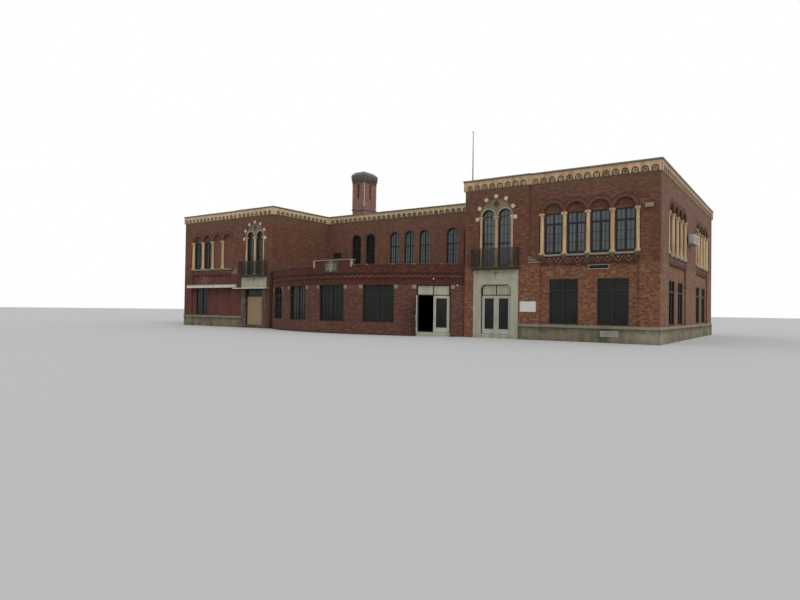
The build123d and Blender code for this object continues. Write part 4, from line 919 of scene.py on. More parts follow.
GROUND_LEVEL = 0.24
SURROUND_FACE = -0.115
SURROUND_TOP = 4.07
SPRAY_Z = 3.92
LEFT_LEGS = -9.0
LEG_TOP = 3.11
CAP_COURSE = 0.143
LEAVES = ((0.075, 0.0, 0.045, 10), (0.135, -0.012, 0.04, 32), (0.175, -0.045, 0.03, 62),
          (0.05, -0.11, 0.032, 48), (0.04, -0.22, 0.028, 52))


@shape
def spray(bm):
    """A carved stem with a small rosette at its head, two curling leaves and a drop."""
    rod(bm, 0.008, 0.42, (0, 0, -0.21), 0.017, 8, forward=False)
    for i in range(6):
        turned(bm, ball(bm, 0.026, (0.032, 0, 0), (1, 0.6, 0.6)), 60 * i)
    for side in (-1, 1):
        for reach, drop, size, tilt in LEAVES:
            ball(bm, size, (side * reach, 0, drop), (1, 0.35, 0.42), side * tilt)
    ball(bm, 0.022, (0, 0, -0.44), (1, 0.6, 1.8))
    move(bm, bm.verts, 0, SURROUND_FACE - 0.004, SPRAY_Z)


BALCONY_DRIPS = times(climb(3.75, SURROUND_TOP), spots(9.0, 5.0, 0.45, 0.62, (1, 1, 0.1)),
                      within("Z", GROUND_LEVEL, SURROUND_TOP + 0.01), 0.6)
CARVINGS = (patch((x, SURROUND_FACE, SPRAY_Z - 0.06), 0.16) for x in (-ENTRY_CX, ENTRY_CX))
CARVED_DIRT = times(maths("ADD", *CARVINGS, clamp=True), spots(30.0, 4.0, 0.45, 0.6, most=0.7))
# Painted shade, with some damp, on the legs of the left doorway under its canopy.
SHADED_DAMP_LEGS = times(below("X", LEFT_LEGS), below("Z", LEG_TOP), spots(2.5, 5.0, 0.2, 0.6, least=0.7))
CAP_EDGES = times(maths("LESS_THAN", maths("FRACT", maths("DIVIDE", along("Z"), CAP_COURSE)), 0.3), 0.85)

dress(stonework("pale_stone", (0.52, 0.49, 0.37), (0.42, 0.40, 0.29), (0.24, 0.23, 0.15), 0.3, 0.0015, 0.35, (
    (BALCONY_DRIPS, (0.20, 0.18, 0.11)), (CARVED_DIRT, (0.12, 0.10, 0.07)), (SHADED_DAMP_LEGS, (0.09, 0.06, 0.045)))),
      "surround_legs", "surround_heads", "thresholds")
dress(stonework("slab_stone", (0.086, 0.078, 0.060), (0.045, 0.040, 0.028),
                (0.064, 0.066, 0.036), 0.8, 0.003), "balcony_slabs")
dress(stonework("cap_stone", (0.20, 0.155, 0.110), (0.115, 0.082, 0.056), (0.10, 0.085, 0.055), pits=0.003,
                stains_and_painted_light=((CAP_EDGES, (0.34, 0.30, 0.22)),)), "buttress_caps")
dress(stonework("block_stone", (0.33, 0.29, 0.21), (0.21, 0.185, 0.135), (0.20, 0.19, 0.12), 0.4, 0.003),
      "bow_blocks")
CARVED_STONE = stonework("carved_stone", (0.30, 0.27, 0.20), (0.16, 0.13, 0.09),
                         (0.13, 0.12, 0.08), pits=0.001)
piece("carved_sprays", CARVED_STONE, "stone", (spray(), TWINS), smooth=40)


# Windows
# Dark green painted frames with slim glazing bars. The arcaded ones have a light over two sashes,
# those over the court and the entrances round heads. Two of the left wing are closed with boards.

FRAME_W = 0.06
MULLION = 0.07
BAR = 0.024
BAR_T = 0.022
STILE = 0.025
SASH_T = 0.035
SASH_PROUD = 0.016
ARCADE_W = 1.03
ARCADE_BAR_Y = 0.206
ARCADE_TRANSOM = 6.59
ROUND_W = 0.97
ROUND_SILL = 4.95
ROUND_SPRING = 7.335
ROUND_TRANSOM = 6.68
ROUND_AT = (-5.355, -3.88, -1.415, 0.0, 1.415, 3.88, 5.355)
ROUND_BAR_Y = 0.146
TWIN_TRANSOM = 5.67
TWIN_BAR_Y = 0.111
GROUND_W = 1.65
GROUND_LOW = 0.93
GROUND_TOP = 3.47
GROUND_TOPLIGHT = 0.65
GROUND_PITCH = 2.68
GROUND_BAR_Y = 0.16
BACK_STEP = -0.065
BRICKED_X = GROUND_PITCH / 2 - GROUP_CX
BOW_RISE = 2.8
BOW_R = (INNER ** 2 + BOW_RISE ** 2) / (2 * BOW_RISE)
BOW_CY = BOW_R - BOW_RISE
BOW_BAY = 14.3
BOW_OPENING_W = 2.14
BOW_SET = 0.15
BOW_SILL = 0.80
BOW_HEAD = 3.18
BOW_TRANSOM = 2.53
COURT_AND_BACK = [to @ shift(x) for x in ROUND_AT for to in (TO_MIDDLE, TO_BACK)]
GROUND_WINDOWS = apart([group @ shift(x) for group in GROUPS for x in (-GROUND_PITCH / 2, GROUND_PITCH / 2)],
                       shift(BRICKED_X))
GROUND_WINDOWS += [TO_BACK @ shift((i - 1.5) * GROUND_PITCH, BACK_STEP) for i in range(4)]
GLAZED_BAYS = apart(EVERY_BAY, *(shift(-GROUP_CX) @ bay for bay in IN_BAYS[2:]))


def border(bm, x0, x1, y0, y1, z0, z1, width, foot=None):
    """Four strips round an opening, the uprights at full height."""
    for left in (x0, x1 - width):
        slab(bm, left, left + width, y0, y1, z0, z1)
    slab(bm, x0 + width, x1 - width, y0, y1, z0, z0 + (foot or width))
    slab(bm, x0 + width, x1 - width, y0, y1, z1 - width, z1)


def lattice(bm, x0, x1, z0, z1, panes, rows, y):
    """Glazing bars that divide a light into equal panes."""
    for i in range(1, panes):
        x = x0 + (x1 - x0) * i / panes
        slab(bm, x - BAR / 2, x + BAR / 2, y, y + BAR_T, z0, z1)
    for j in range(1, rows):
        z = z0 + (z1 - z0) * j / rows
        slab(bm, x0, x1, y + 0.002, y + BAR_T, z - BAR / 2, z + BAR / 2)


def halves(width):
    """The two sides of a mullion inside a frame."""
    inner = width / 2 - FRAME_W
    return (-inner, -MULLION / 2), (MULLION / 2, inner)


@shape
def arcade_bars(bm):
    z0, z1 = ARCADE_SILL + 0.13, ARCADE_TRANSOM - MULLION / 2
    for x0, x1 in halves(ARCADE_W):
        y = ARCADE_BAR_Y - SASH_PROUD
        border(bm, x0, x1, y, y + SASH_T, z0, z1, STILE)
        lattice(bm, x0 + STILE, x1 - STILE, z0 + STILE, z1 - STILE, 2, 3, ARCADE_BAR_Y)
        lattice(bm, x0, x1, ARCADE_TRANSOM + MULLION / 2, ARCH_SPRING - FRAME_W, 2, 1, ARCADE_BAR_Y)


def head_bar(bm, x, inner, y, spring, width=BAR):
    """An upright in a round head, up to its frame."""
    rise = math.sqrt(inner ** 2 - x ** 2) - 0.004
    slab(bm, x - width / 2, x + width / 2, y, y + BAR_T, spring, spring + rise)


@shape
def round_bars(bm):
    """A window over the court: a stout mullion, one slim bar on each side, four rows and one above."""
    y, inner = ROUND_BAR_Y, ROUND_W / 2 - FRAME_W
    for x0, x1 in halves(ROUND_W):
        lattice(bm, x0, x1, ROUND_SILL + FRAME_W, ROUND_TRANSOM - MULLION / 2, 2, 4, y)
        lattice(bm, x0, x1, ROUND_TRANSOM + MULLION / 2, ROUND_SPRING, 2, 1, y)
        head_bar(bm, (x0 + x1) / 2, inner, y, ROUND_SPRING)
    slab(bm, -inner, inner, y + 0.002, y + BAR_T, ROUND_SPRING - BAR / 2, ROUND_SPRING + BAR / 2)
    slab(bm, -MULLION / 2, MULLION / 2, y - 0.03, y + BAR_T, ROUND_SILL + FRAME_W, ROUND_SPRING)
    head_bar(bm, 0, inner, y - 0.02, ROUND_SPRING, MULLION)


@shape
def twin_bars(bm):
    """A light over an entrance: three panes wide, with three rows over the transom."""
    y, inner = TWIN_BAR_Y, TWIN_LIGHT_R - FRAME_W
    lattice(bm, -inner, inner, UPPER_LEVEL + FRAME_W, TWIN_TRANSOM - MULLION / 2, 3, 1, y)
    lattice(bm, -inner, inner, TWIN_TRANSOM + MULLION / 2, TWIN_SPRING, 3, 3, y)
    slab(bm, -inner, inner, y + 0.002, y + BAR_T, TWIN_SPRING - BAR, TWIN_SPRING + BAR)
    for x in (-inner / 3, inner / 3):
        head_bar(bm, x, inner, y, TWIN_SPRING)


@shape
def ground_bars(bm):
    y, top = GROUND_BAR_Y - SASH_PROUD, GROUND_TOP - GROUND_TOPLIGHT - MULLION / 2
    for x0, x1 in halves(GROUND_W):
        border(bm, x0, x1, y, y + SASH_T, GROUND_LOW + FRAME_W, top, STILE)


@shape
def bow_bars(bm):
    y = BOW_SET - BOW_RISE + 0.036
    for x0, x1 in halves(BOW_OPENING_W):
        lattice(bm, x0, x1, BOW_SILL + FRAME_W, BOW_TRANSOM - MULLION / 2, 3, 3, y)
        lattice(bm, x0, x1, BOW_TRANSOM + MULLION / 2, BOW_HEAD - FRAME_W, 3, 1, y)


def bow_turn(degrees):
    """Turns what is made at the middle of the bow to another bay."""
    return shift(0, BOW_CY) @ turn(degrees) @ shift(0, -BOW_CY)


@shape
def court_sill(bm):
    stone = slab(bm, -0.55, 0.55, -0.04, 0.1, ROUND_SILL - 0.07, ROUND_SILL)
    move(bm, front_top(stone, ROUND_SILL), z=-0.015)
    soften(bm, 0.006)


def glass(name, tint, rough, shine, dark_at=0.0):
    """Old window glass over a dark room: faint waves and a film of dust."""
    dust = spots(0.8, 5.0, 0.35, 0.75)
    film = blend(dust, tint, tuple(c * 1.7 + 0.004 for c in tint))
    film = blend(times(dark_at, 0.9), film, (0.009, 0.007, 0.005))
    return material(name, film, noise(1.3, 1.0), 0.01, 0.25, Specular_IOR_Level=shine, IOR=1.5,
                    Roughness=maths("ADD", rough, times(dust, 0.12)))


COURT_PAIR = times(within("X", -6.2, -3.2), within("Y", 6.0, 7.0))
LEFT_WING = times(within("X", -19.0, -8.6), within("Y", -0.2, 0.6), 0.85)
FRAME_PAINT = metal("frame_paint", (0.008, 0.013, 0.0125), (0.024, 0.031, 0.027), 0.6, 0.4)
UPPER_GLASS = glass("upper_glass", (0.068, 0.082, 0.080), 0.05, 0.5, maths("ADD", COURT_PAIR, LEFT_WING))
LOWER_GLASS = glass("lower_glass", (0.010, 0.0105, 0.0085), 0.07, 0.18)
SILL_GREY = stonework("court_sill_stone", (0.30, 0.27, 0.21), (0.18, 0.16, 0.12),
                      (0.14, 0.14, 0.09), pits=0.002)
court_ring = shape(ring_bricks)(ROUND_W / 2 + 0.004, ROUND_W / 2 + 0.11, -0.004, 0.006, ROUND_SPRING)
piece("window_bars", FRAME_PAINT, "frame_paint", (arcade_bars(), GLAZED_BAYS), (round_bars(), COURT_AND_BACK),
      (twin_bars(), TWIN_LIGHTS), (ground_bars(), GROUND_WINDOWS),
      (bow_bars(), [bow_turn(i * BOW_BAY) for i in (-2, -1, 0, 1)]))
piece("court_sills", SILL_GREY, "stone", (court_sill(), COURT_AND_BACK))
piece("court_arch_rings", RING_BRICKS, "brick", (court_ring, COURT_AND_BACK))
dress(FRAME_PAINT, "upper_frames", "ground_frames", "boarded_frame", "door_posts", "overlights")
dress(UPPER_GLASS, "upper_glass")
dress(LOWER_GLASS, "ground_glass")
dress(metal("infill_paint", (0.155, 0.062, 0.030), (0.120, 0.052, 0.030), 0.7, 0.7), "filled_windows")


# Balconies
# Wrought iron railings on the stone slab over each entrance, painted black and rusting. Thin bars
# stand between the stouter ones, and a second low rail ties them.

BALCONY_W = 3.05
BALCONY_Y = -0.385
RAIL_TOP = 5.30
RAIL_BARS = 25
RAIL_HALF = BALCONY_W / 2 - 0.03
RAIL_PITCH = 2 * RAIL_HALF / RAIL_BARS


@shape
def thin_bars(bm):
    for i in range(RAIL_BARS):
        x = (i + 0.5) * RAIL_PITCH - RAIL_HALF
        slab(bm, x - 0.006, x + 0.006, BALCONY_Y - 0.006, BALCONY_Y + 0.006, UPPER_LEVEL + 0.11, RAIL_TOP)
    for z in (UPPER_LEVEL + 0.22, RAIL_TOP - 0.13):
        slab(bm, -RAIL_HALF, RAIL_HALF, BALCONY_Y - 0.008, BALCONY_Y + 0.008, z, z + 0.015)
    for x in (0.02 - RAIL_HALF, RAIL_HALF - 0.02):
        ball(bm, 0.03, (x, BALCONY_Y, RAIL_TOP + 0.052), around=12, down=8)


IRON = metal("railing_iron", (0.028, 0.022, 0.019), (0.085, 0.042, 0.026), 0.65, 0.8)
dress(IRON, "balcony_rails")
piece("balcony_thin_bars", IRON, "iron", (thin_bars(), TWINS))


# Doors
# Pairs of painted doors with one tall pane each, hung on three butt hinges, under a dark framed
# light that is closed with two painted boards.

DOORWAY_W = 2.0
DOORWAY_TOP = 3.20
DOOR_SET = 0.15
DOOR_TRANSOM = 2.55
POST_W = 0.06
LEAF_EDGE = 0.005
LEAF_Y = (0.01, 0.055)
LEAF_STILE = 0.15
LEAF_RAIL = 0.28
BEAD = 0.014
HINGE_H = 0.08
HANDLE_Z = 0.9
HANDLE_OUT = 0.035
BOARD_EDGE = 0.05
CUT_CORNER = 0.12
DOOR_BAY = 2 * BOW_BAY


@shape
def leaf_frame(bm, width, low, high):
    """The stiles and rails of a leaf, hung on the z axis and reaching along +x, with its pane's beads."""
    x0, x1 = LEAF_EDGE, LEAF_EDGE + width
    y0, y1 = LEAF_Y
    border(bm, x0, x1, y0, y1, low, high, LEAF_STILE, LEAF_RAIL)
    for y in (y0 + 0.004, y1 - 0.004 - BEAD / 2):
        border(bm, x0 + LEAF_STILE, x1 - LEAF_STILE, y, y + BEAD / 2,
               low + LEAF_RAIL, high - LEAF_STILE, BEAD)
    soften(bm, 0.0025)


@shape
def leaf_glass(bm, width, low, high):
    middle = sum(LEAF_Y) / 2
    slab(bm, LEAF_EDGE + LEAF_STILE, LEAF_EDGE + width - LEAF_STILE, middle - 0.003, middle + 0.003,
         low + LEAF_RAIL, high - LEAF_STILE)


@shape
def leaf_metal(bm, width, low, high):
    """Hinge barrels with their flaps, a pull handle, a lock plate and a kick plate."""
    y = LEAF_Y[0]
    for z in (low + 0.2, (low + high) / 2, high - 0.2):
        rod(bm, 0.008, HINGE_H, (0, 0, z + HINGE_H / 2), forward=False)
        slab(bm, 0, 0.03, y - 0.006, y, z, z + HINGE_H)
    px, pz = LEAF_EDGE + width - LEAF_STILE / 2, low + HANDLE_Z
    rod(bm, 0.009, 0.3, (px, y - HANDLE_OUT, pz), forward=False)
    for z in (pz - 0.1, pz + 0.1):
        slab(bm, px - 0.008, px + 0.008, y - HANDLE_OUT, y, z - 0.008, z + 0.008)
    slab(bm, px - 0.03, px + 0.03, y - 0.002, y, pz + 0.2, pz + 0.32)
    slab(bm, LEAF_EDGE + 0.02, LEAF_EDGE + width - 0.02, y - 0.0015, y, low + 0.015, low + 0.2)
    soften(bm, 0.001)


@shape
def overlight_boards(bm, half, low, high, cut=0.0):
    """The two boards over a pair of doors, with their outer top corners cut."""
    side, top = half - BOARD_EDGE, high - BOARD_EDGE
    outline = [(0.03, low + BOARD_EDGE), (side, low + BOARD_EDGE), (side, top - cut), (0.03, top)]
    if cut:
        outline.insert(3, (side - cut, top))
    for way in (-1, 1):
        plate(bm, [(way * x, z) for x, z in outline], 0.023, 0.036)
    soften(bm, 0.004)


def leaf(name, doorway, width, high, hung=Matrix(), stands=Matrix()):
    """One leaf as three pieces on its own body, hung on the left of the doorway or mirrored."""
    across = width / 2 - POST_W - 2 * LEAF_EDGE - 0.0045
    place = doorway @ hung @ shift(POST_W + LEAF_EDGE - width / 2) @ stands
    for part, maker, finish, slot in (("frame", leaf_frame, DOOR_PAINT, "door_paint"),
                                      ("pane", leaf_glass, LOWER_GLASS, "glass"),
                                      ("metal", leaf_metal, STEEL, "steel")):
        made = maker(across, GROUND_LEVEL + 0.01, high - 0.01)
        piece(f"{name}_{part}", finish, slot, (made, [place]), body=name,
              stands_for=(name,) if part == "frame" else ())


DOOR_PAINT = metal("door_paint", (0.45, 0.44, 0.37), (0.33, 0.31, 0.25), 0.5, 0.35)
BOARD_PAINT = metal("board_paint", (0.44, 0.42, 0.30), (0.34, 0.31, 0.22), 0.6, 0.5)
STEEL = metal("steel", (0.45, 0.45, 0.44), (0.28, 0.26, 0.24), 0.4, metallic=0.7)
ENTRY = shift(ENTRY_CX, DOOR_SET - ENTRY_STEP)
BOW_DOORWAY = bow_turn(DOOR_BAY) @ shift(0, BOW_SET - BOW_RISE)
leaf("entry_door_left", ENTRY, DOORWAY_W, DOOR_TRANSOM)
leaf("entry_door_right", ENTRY, DOORWAY_W, DOOR_TRANSOM, OTHER_SIDE)
leaf("bow_door_left", BOW_DOORWAY, BOW_OPENING_W, BOW_TRANSOM, stands=turn(-90))
leaf("bow_door_right", BOW_DOORWAY, BOW_OPENING_W, BOW_TRANSOM, OTHER_SIDE)
piece("overlight_boards", BOARD_PAINT, "door_paint",
      (overlight_boards(DOORWAY_W / 2 - POST_W, DOOR_TRANSOM, DOORWAY_TOP, CUT_CORNER), [ENTRY]),
      (overlight_boards(BOW_OPENING_W / 2 - POST_W, BOW_TRANSOM, BOW_HEAD), [BOW_DOORWAY]))


# Left entrance
# The doorway is closed with a sheet of plywood under flat canopies of painted boards on rusted
# brackets. Beside it a ground-floor window has been bricked up.

CANOPY_X = (-18.68, -12.65)
CANOPY_FRONT = -0.52
CANOPY_LOW = 3.23
CANOPY_TOP = 3.50
DOOR_CANOPY_LOW = 3.13
CANOPY_BOARDS = 5
DRIP_STRIP = 0.05
BRACKETS_AT = (-18.3, -16.8, -15.2, -13.7)


@shape
def canopy_trim(bm):
    """Battens over the joints of the fascia boards, and a drip strip along the top."""
    x0, x1 = CANOPY_X
    for i in range(1, CANOPY_BOARDS):
        x = x0 + (x1 - x0) * i / CANOPY_BOARDS
        slab(bm, x - 0.02, x + 0.02, CANOPY_FRONT - 0.01, CANOPY_FRONT + 0.002,
             CANOPY_LOW, CANOPY_TOP - DRIP_STRIP)
    slab(bm, x0, x1, CANOPY_FRONT - 0.015, CANOPY_FRONT + 0.002, CANOPY_TOP - DRIP_STRIP, CANOPY_TOP)
    soften(bm, 0.003)


@shape
def bracket(bm):
    """A rusted angle bracket under the canopy: a leg on the wall, an arm and a brace."""
    slab(bm, -0.02, 0.02, 0.08, 0.09, -0.42, -0.002)
    slab(bm, -0.02, 0.02, -0.5, 0.09, -0.012, -0.002)
    brace = slab(bm, -0.005, 0.005, -0.32, 0.32, -0.02, 0.02)
    turned(bm, brace, -37, "X")
    move(bm, brace, 0, -0.17, -0.2)


@shape
def brick_fill(bm):
    half = GROUND_W / 2 - 0.002
    slab(bm, BRICKED_X - half, BRICKED_X + half, 0.102, 0.123, GROUND_LOW + 0.002, GROUND_TOP - 0.002)


GRAIN_PLACE = node("ShaderNodeMapping", {"Vector": OBJECT_PLACE, "Scale": (5.0, 5.0, 0.45)})
RINGS = node("ShaderNodeTexWave", {"Vector": GRAIN_PLACE, "Scale": 1.6, "Distortion": 7.0,
                                   "Detail": 3.0}, "Fac", wave_type="BANDS", bands_direction="X")
PLYWOOD = stained(blend(RINGS, (0.40, 0.27, 0.15), (0.31, 0.20, 0.11)), (
    (times(spots(1.8, 5.0, 0.45, 0.7), 0.4), (0.30, 0.27, 0.23)),))
FASCIA_DIRT = (times(spots(3.5, 6.0, 0.52, 0.72, (1, 1, 0.5)), 0.5), (0.34, 0.27, 0.18))
# These masks mark the undersides of both canopies, which are darkened with painted shade.
DOOR_CANOPY = times(above("X", CANOPY_X[1] + 0.01), below("Z", DOOR_CANOPY_LOW))
LONG_CANOPY = times(below("X", CANOPY_X[1] + 0.01), below("Z", CANOPY_LOW + 0.004))
SHADED_UNDERSIDES = (times(maths("ADD", DOOR_CANOPY, LONG_CANOPY), 0.85), (0.05, 0.04, 0.03))
dress(material("plywood", PLYWOOD, RINGS, 0.0008, Roughness=0.75, Specular_IOR_Level=0.2), "entry_board")
dress(metal("canopy_paint", (0.70, 0.66, 0.58), (0.50, 0.44, 0.36), 0.65, 0.5,
            (FASCIA_DIRT, SHADED_UNDERSIDES)), "canopies")
piece("canopy_trim", metal("trim_paint", (0.33, 0.25, 0.16), (0.22, 0.16, 0.10), 0.65, 0.6), "white_paint",
      canopy_trim())
piece("canopy_brackets", metal("rusted_iron", (0.085, 0.038, 0.02), (0.15, 0.07, 0.035), 0.8, 0.9), "iron",
      (bracket(), [shift(x, 0, CANOPY_LOW) for x in BRACKETS_AT]))
piece("bricked_window", WALL_BRICK, "brick", brick_fill())


# Bowed room
# A curved one-storey front of dark red brick across the court. A zigzag of bricks runs between two
# string courses, and the raised middle has stone ends and a plain carved shield on a panel.

BOW_BAND = (3.65, 3.87)
BOW_RAISED_TOP = 4.795
BOW_RAISED_HALF = 1.675
BOW_END_CLEAR = 0.1
ZIGZAG = 0.175
DENTIL = 0.12
ROLL_L = 0.202
RETURN_LOW = 4.36
PANEL_LOW = 4.03
PANEL_HIGH = 4.73
PANEL_HALF = 0.56
SHIELD_Z = 4.33
SHIELD_SIDE = [(0.0, 4.01), (0.12, 4.11), (0.20, 4.24), (0.235, 4.40), (0.245, 4.56), (0.20, 4.60),
               (0.12, 4.575), (0.0, 4.62)]
SHIELD = SHIELD_SIDE + [(-x, z) for x, z in SHIELD_SIDE[-2:0:-1]]
CROWN_Z = 4.72
BULBS_AT = (shift(0, 0, 3.555), shift(1.47, 0, 3.16))


def round_the_bow(step):
    """Places a step apart along the whole curve, kept clear of its ends."""
    reach = BOW_R * math.asin(INNER / BOW_R) - BOW_END_CLEAR
    count = int(2 * reach / step)
    return [bow_turn(math.degrees((i - (count - 1) / 2) * step / BOW_R)) for i in range(count)]


@shape
def zigzag_brick(bm, side):
    slab(bm, -0.108, 0.108, -BOW_RISE - 0.014, 0.01 - BOW_RISE, -0.024, 0.024)
    turned(bm, bm.verts, side * 38)
    soften(bm, 0.004)
    move(bm, bm.verts, z=BOW_BAND[0] + 0.085)


@shape
def dentil(bm):
    slab(bm, -0.032, 0.032, -BOW_RISE - 0.022, 0.01 - BOW_RISE, BOW_BAND[1] - 0.05, BOW_BAND[1] + 0.002)


@shape
def bow_roll(bm):
    """A length of the round mouldings over and under the two string courses."""
    for z in (BOW_BAND[0] - 0.078, BOW_BAND[1] + 0.05):
        slab(bm, -ROLL_L / 2, ROLL_L / 2, -BOW_RISE - 0.04, -BOW_RISE - 0.01, z, z + 0.028)
    soften(bm, 0.009, 2, only=lambda e: abs(e.verts[0].co.x - e.verts[1].co.x) > 0.1)


@shape
def raised_end(bm):
    """A pale stone on end at a side of the raised middle, with a foot that laps the coping."""
    slab(bm, -0.07, 0.07, -BOW_RISE - 0.028, 0.2 - BOW_RISE, RETURN_LOW, BOW_RAISED_TOP + 0.002)
    slab(bm, -0.085, 0.085, -BOW_RISE - 0.034, 0.2 - BOW_RISE, RETURN_LOW, RETURN_LOW + 0.08)
    soften(bm, 0.008)


def hoop(bm, r, thick, at, steps=18):
    """A round bead bent into a ring that faces the front."""
    ring = bmesh.new()
    move(ring, bmesh.ops.create_circle(ring, segments=8, radius=thick)["verts"], r)
    spin(ring, ring.verts[:] + ring.edges[:], 360, steps, (0, 1, 0))
    stamp(bm, meshed(ring), [shift(*at)])


def rim(bm, x0, x1, y0, y1, z0, z1, width):
    """Four strips round a panel, the upper and lower ones at full length."""
    for low in (z1 - width, z0):
        slab(bm, x0, x1, y0, y1, low, low + width)
    for left in (x0, x1 - width):
        slab(bm, left, left + width, y0, y1, z0 + width, z1 - width)


@shape
def panel(bm):
    """A bordered panel with a shield of two layers and the band of its crown, all plain."""
    front = -BOW_RISE
    slab(bm, -PANEL_HALF, PANEL_HALF, front - 0.012, front + 0.03, PANEL_LOW, PANEL_HIGH)
    rim(bm, -PANEL_HALF, PANEL_HALF, front - 0.03, front - 0.008, PANEL_LOW, PANEL_HIGH, 0.05)
    plate(bm, SHIELD, front - 0.055, front - 0.01)
    plate(bm, [(x * 0.8, SHIELD_Z + (z - SHIELD_Z) * 0.8) for x, z in SHIELD], front - 0.066, front - 0.052)
    slab(bm, -0.17, 0.17, front - 0.06, front + 0.02, CROWN_Z - 0.08, CROWN_Z - 0.02)
    soften(bm, 0.004)


@shape
def scrolls(bm):
    """The beads of the crown, and three rings and a long leaf on each side of the shield."""
    front = -BOW_RISE
    for i, rise in enumerate((0.0, 0.035, 0.05, 0.035, 0.0)):
        ball(bm, 0.034, ((i - 2) * 0.075, front - 0.04, CROWN_Z + rise), (0.8, 0.8, 1.3), down=6)
    for side in (-1, 1):
        hoop(bm, 0.075, 0.022, (side * 0.345, front - 0.03, 4.24))
        hoop(bm, 0.03, 0.02, (side * 0.345, front - 0.034, 4.24), 12)
        hoop(bm, 0.055, 0.02, (side * 0.335, front - 0.03, 4.50))
        ball(bm, 0.05, (side * 0.41, front - 0.026, 4.38), (0.55, 0.5, 2.6), side * 14, down=6)


@shape
def bulb(bm):
    """A small round lamp on a flat rose."""
    ball(bm, 0.042, (0, -BOW_RISE - 0.064, 0), (1, 1.05, 1), around=16, down=10)
    rod(bm, 0.052, 0.03, (0, -BOW_RISE - 0.017, 0), 0.042, 16)


BOW_RUN = times(maths("ARCTAN2", along("X"), maths("SUBTRACT", BOW_CY, along("Y"))), BOW_R)
BOW_PLACE = new_group("bow_place", (), Place=up_the_wall(BOW_RUN))
PARAPET_TONES = ((0.064, 0.019, 0.012), (0.092, 0.024, 0.015), (0.113, 0.030, 0.018), (0.135, 0.045, 0.026))
BOW_BRICK = brickwork(
    "bow_brick", ((0.088, 0.037, 0.028), (0.130, 0.048, 0.034), (0.160, 0.061, 0.042), (0.195, 0.090, 0.058)),
    (0.125, 0.085, 0.062), ((above("Z", BOW_HEAD), PARAPET_TONES, (0.085, 0.041, 0.028)),),
    ((times(within("Z", *BOW_BAND), 0.6), (0.060, 0.024, 0.017)),), from_group(BOW_PLACE, "Place"))
ZIGZAG_BRICK = loose_bricks("zigzag_brick", (0.10, 0.036, 0.026), (0.17, 0.072, 0.050), (0.25, 0.145, 0.105))
BOW_DARK = loose_bricks("bow_dark", (0.030, 0.013, 0.010), (0.050, 0.020, 0.015))
LICHEN = maths("MAXIMUM", times(spots(4.0, 7.0, 0.55, 0.64), 0.8),
               times(above("Z", BOW_RAISED_TOP - 0.1), 0.85))
BOW_COPING = stonework("bow_coping_stone", (0.092, 0.080, 0.059), (0.058, 0.051, 0.038), (0.05, 0.05, 0.028),
                       0.4, 0.003, stains_and_painted_light=((LICHEN, (0.30, 0.275, 0.20)),))
RETURN_STONE = stonework("return_stone", (0.44, 0.41, 0.31), (0.33, 0.30, 0.21), (0.21, 0.20, 0.13), 0.3)
# Painted shade on all that lies more than 36 mm behind the bow's face: the panel's ground and border and the
# deeper parts of the shield and scrolls.
PANEL_SHADE = times(above("Y", -BOW_RISE - 0.036), 0.75)
SHIELD_STONE = stonework("shield_stone", (0.34, 0.325, 0.25), (0.19, 0.183, 0.135), (0.155, 0.158, 0.10),
                         pits=0.003, stains_and_painted_light=((PANEL_SHADE, (0.060, 0.052, 0.038)),))
dress(BOW_BRICK, "bow_piers", "bow_aprons", "bow_parapet")
dress(BOW_COPING, "bow_coping")
leaning = zigzag_brick(-1), zigzag_brick(1)
piece("bow_zigzag", ZIGZAG_BRICK, "bow_brick",
      *((leaning[i % 2], [place]) for i, place in enumerate(round_the_bow(ZIGZAG))))
piece("bow_courses", BOW_DARK, "bow_brick",
      (dentil(), round_the_bow(DENTIL)), (bow_roll(), round_the_bow(ROLL_L)))
end_turn = math.degrees(math.asin((BOW_RAISED_HALF - 0.06) / BOW_R))
piece("raised_ends", RETURN_STONE, "stone", (raised_end(), [bow_turn(end_turn), bow_turn(-end_turn)]))
piece("bow_cartouche", SHIELD_STONE, "stone", panel(), scrolls(), stands_for=("bow_shield",), smooth=40)
piece("bow_lamps", metal("white_glass", (0.80, 0.79, 0.74), (0.62, 0.60, 0.52), 0.25), "white_paint",
      (bulb(), [bow_turn(DOOR_BAY) @ at for at in BULBS_AT]), smooth=40)


# Chimney
# A pinkish brick stack with slim terracotta shafts at its corners, long slots in its faces, two
# rows of bricks set cornerwise under its head and a mossy sloped top.

STACK_X = (-8.20, -6.87)
STACK_Y = (9.265, 11.015)
STACK_TOP = 13.0
STACK_SLOPE = 13.75
SLOT_Z = (11.59, 12.9)
SLOT_HALF = 0.1
SHAFT_R = 0.06
SHAFT_Z = (10.84, 12.96)
TOOTH = 0.13
TOOTH_HALF = 0.028
TOOTH_H = 0.15


@shape
def teeth(bm):
    """Bricks set cornerwise in two rows round the head."""
    for out, z in ((0.035, STACK_TOP + 0.02), (0.068, STACK_TOP + 0.21)):
        for row, other, on_sides in ((STACK_X, STACK_Y, False), (STACK_Y, STACK_X, True)):
            count = int((row[1] - row[0]) / TOOTH)
            for i in range(count):
                run = sum(row) / 2 + (i - (count - 1) / 2) * TOOTH
                for face in (other[0] - out, other[1] + out):
                    tooth = slab(bm, -TOOTH_HALF, TOOTH_HALF, -TOOTH_HALF, TOOTH_HALF, z, z + TOOTH_H)
                    turned(bm, tooth, 45, "Z")
                    move(bm, tooth, *((face, run) if on_sides else (run, face)))


